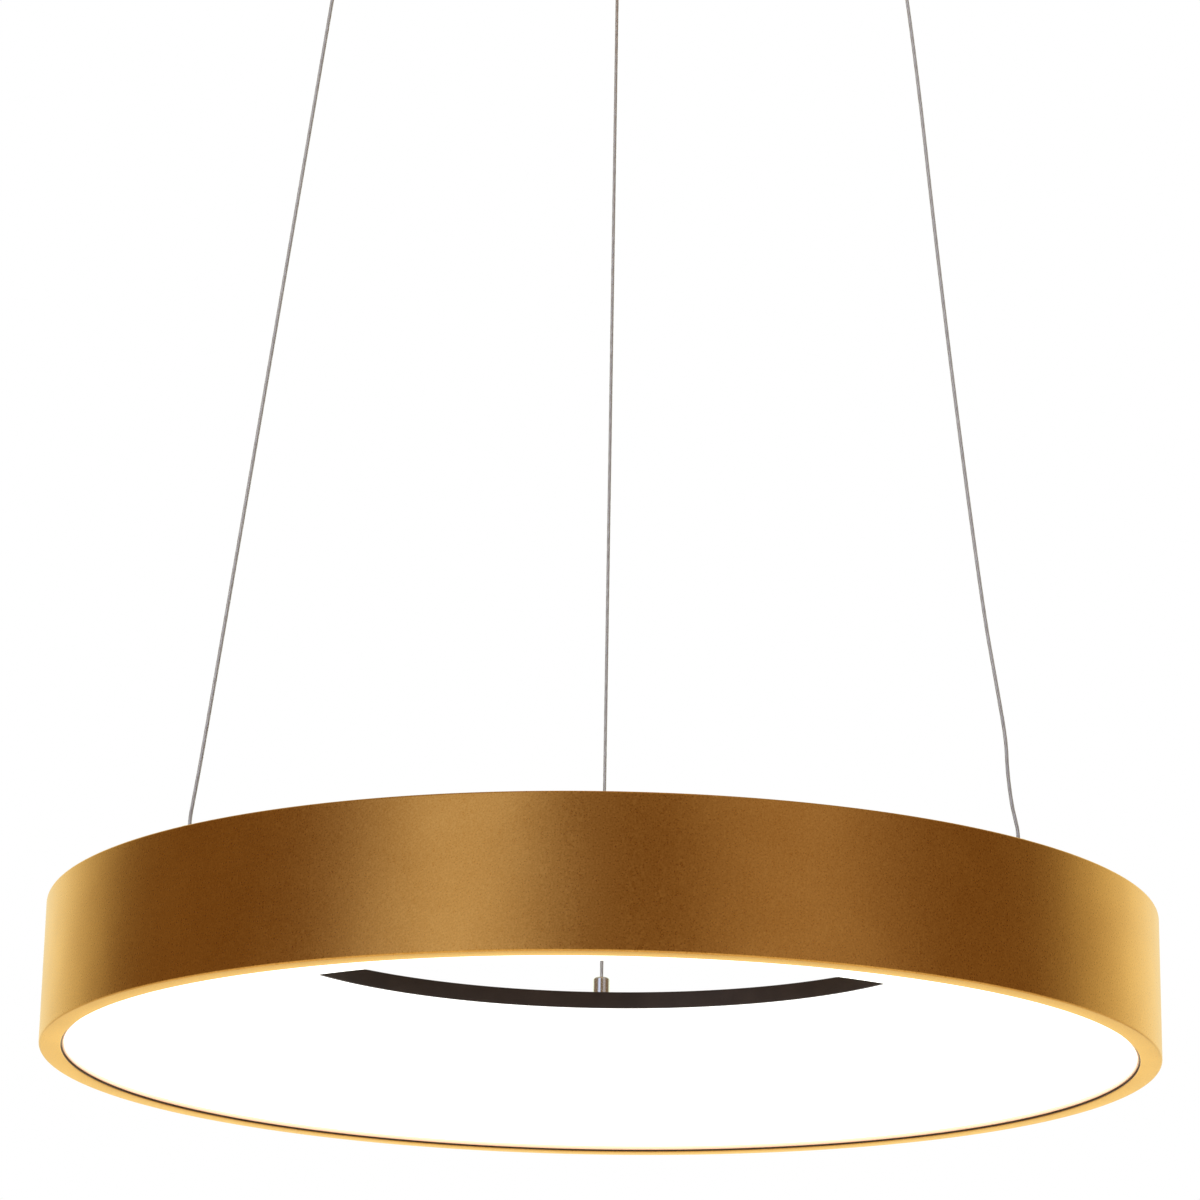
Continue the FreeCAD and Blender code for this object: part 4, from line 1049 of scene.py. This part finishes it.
ABOVE = (0.36, 0.33, 0.3)
# Tones from straight down, 0, over the horizon, 0.5, to straight up, 1. They take over from the
# studio's between these two steepnesses, as the sine of the angle from the horizon.
UP_DOWN = [(0.0, BELOW), (0.5, LEVEL), (0.8, ABOVE), (1.0, ABOVE)]
STEEP_FROM = 0.45
STEEP_TO = 0.85


def make_surroundings():
    """The studio's tones round the horizon, which give way to UP_DOWN's tones above and below."""
    world = bpy.data.worlds.new("studio")
    bpy.context.scene.world = world
    world.use_nodes = True
    sky = Nodes(world.node_tree)
    sky.tree.nodes.clear()
    x, y, z = sky.parts(sky.add("ShaderNodeTexCoord").outputs["Generated"])
    turn = sky.math("ARCTAN2", x, sky.math("MULTIPLY", y, -1))
    share = sky.math("FRACT", sky.math("ADD", sky.math("DIVIDE", turn, 2 * math.pi), 1.0))
    around = sky.ramp(share, [(angle / 360, tone) for angle, tone in STUDIO])
    height = sky.math("ADD", sky.math("MULTIPLY", z, 0.5), 0.5)
    steep = sky.spread(sky.math("ABSOLUTE", z), 0, 1, STEEP_FROM, STEEP_TO)
    mix = sky.add("ShaderNodeMix", data_type="RGBA")
    sky.link(steep, mix.inputs["Factor"])
    sky.link(around, mix.inputs["A"])
    sky.link(sky.ramp(height, UP_DOWN), mix.inputs["B"])
    lit = sky.add("ShaderNodeBackground")
    sky.link(mix.outputs["Result"], lit.inputs["Color"])
    seen = sky.add("ShaderNodeBackground")
    seen.inputs["Color"].default_value = (1, 1, 1, 1)
    choice = sky.add("ShaderNodeMixShader")
    sky.link(sky.add("ShaderNodeLightPath").outputs["Is Camera Ray"], choice.inputs["Fac"])
    sky.link(lit.outputs["Background"], choice.inputs[1])
    sky.link(seen.outputs["Background"], choice.inputs[2])
    sky.link(choice.outputs["Shader"], sky.add("ShaderNodeOutputWorld").inputs["Surface"])


def make_light(name, spot, aim, size, power):
    """A square soft light of size metres and power watts, left out of camera and reflections."""
    data = bpy.data.lights.new(name, "AREA")
    data.shape = "SQUARE"
    data.size = size
    data.energy = power
    light = bpy.data.objects.new(name, data)
    bpy.context.collection.objects.link(light)
    light.location = spot
    light.rotation_euler = (Vector(aim) - Vector(spot)).to_track_quat("-Z", "Y").to_euler()
    light.visible_camera = False
    light.visible_glossy = False


make_floor()
make_surroundings()
make_light("from_the_left", spot=(-2.2, -1.8, 0.4), aim=(0, 0, -0.5), size=1.6, power=30)
make_light("from_above", spot=(0.4, 0.2, 3.4), aim=(0, 0, FLOOR_Z), size=4.0, power=170)
bpy.context.scene.view_settings.view_transform = "Standard"
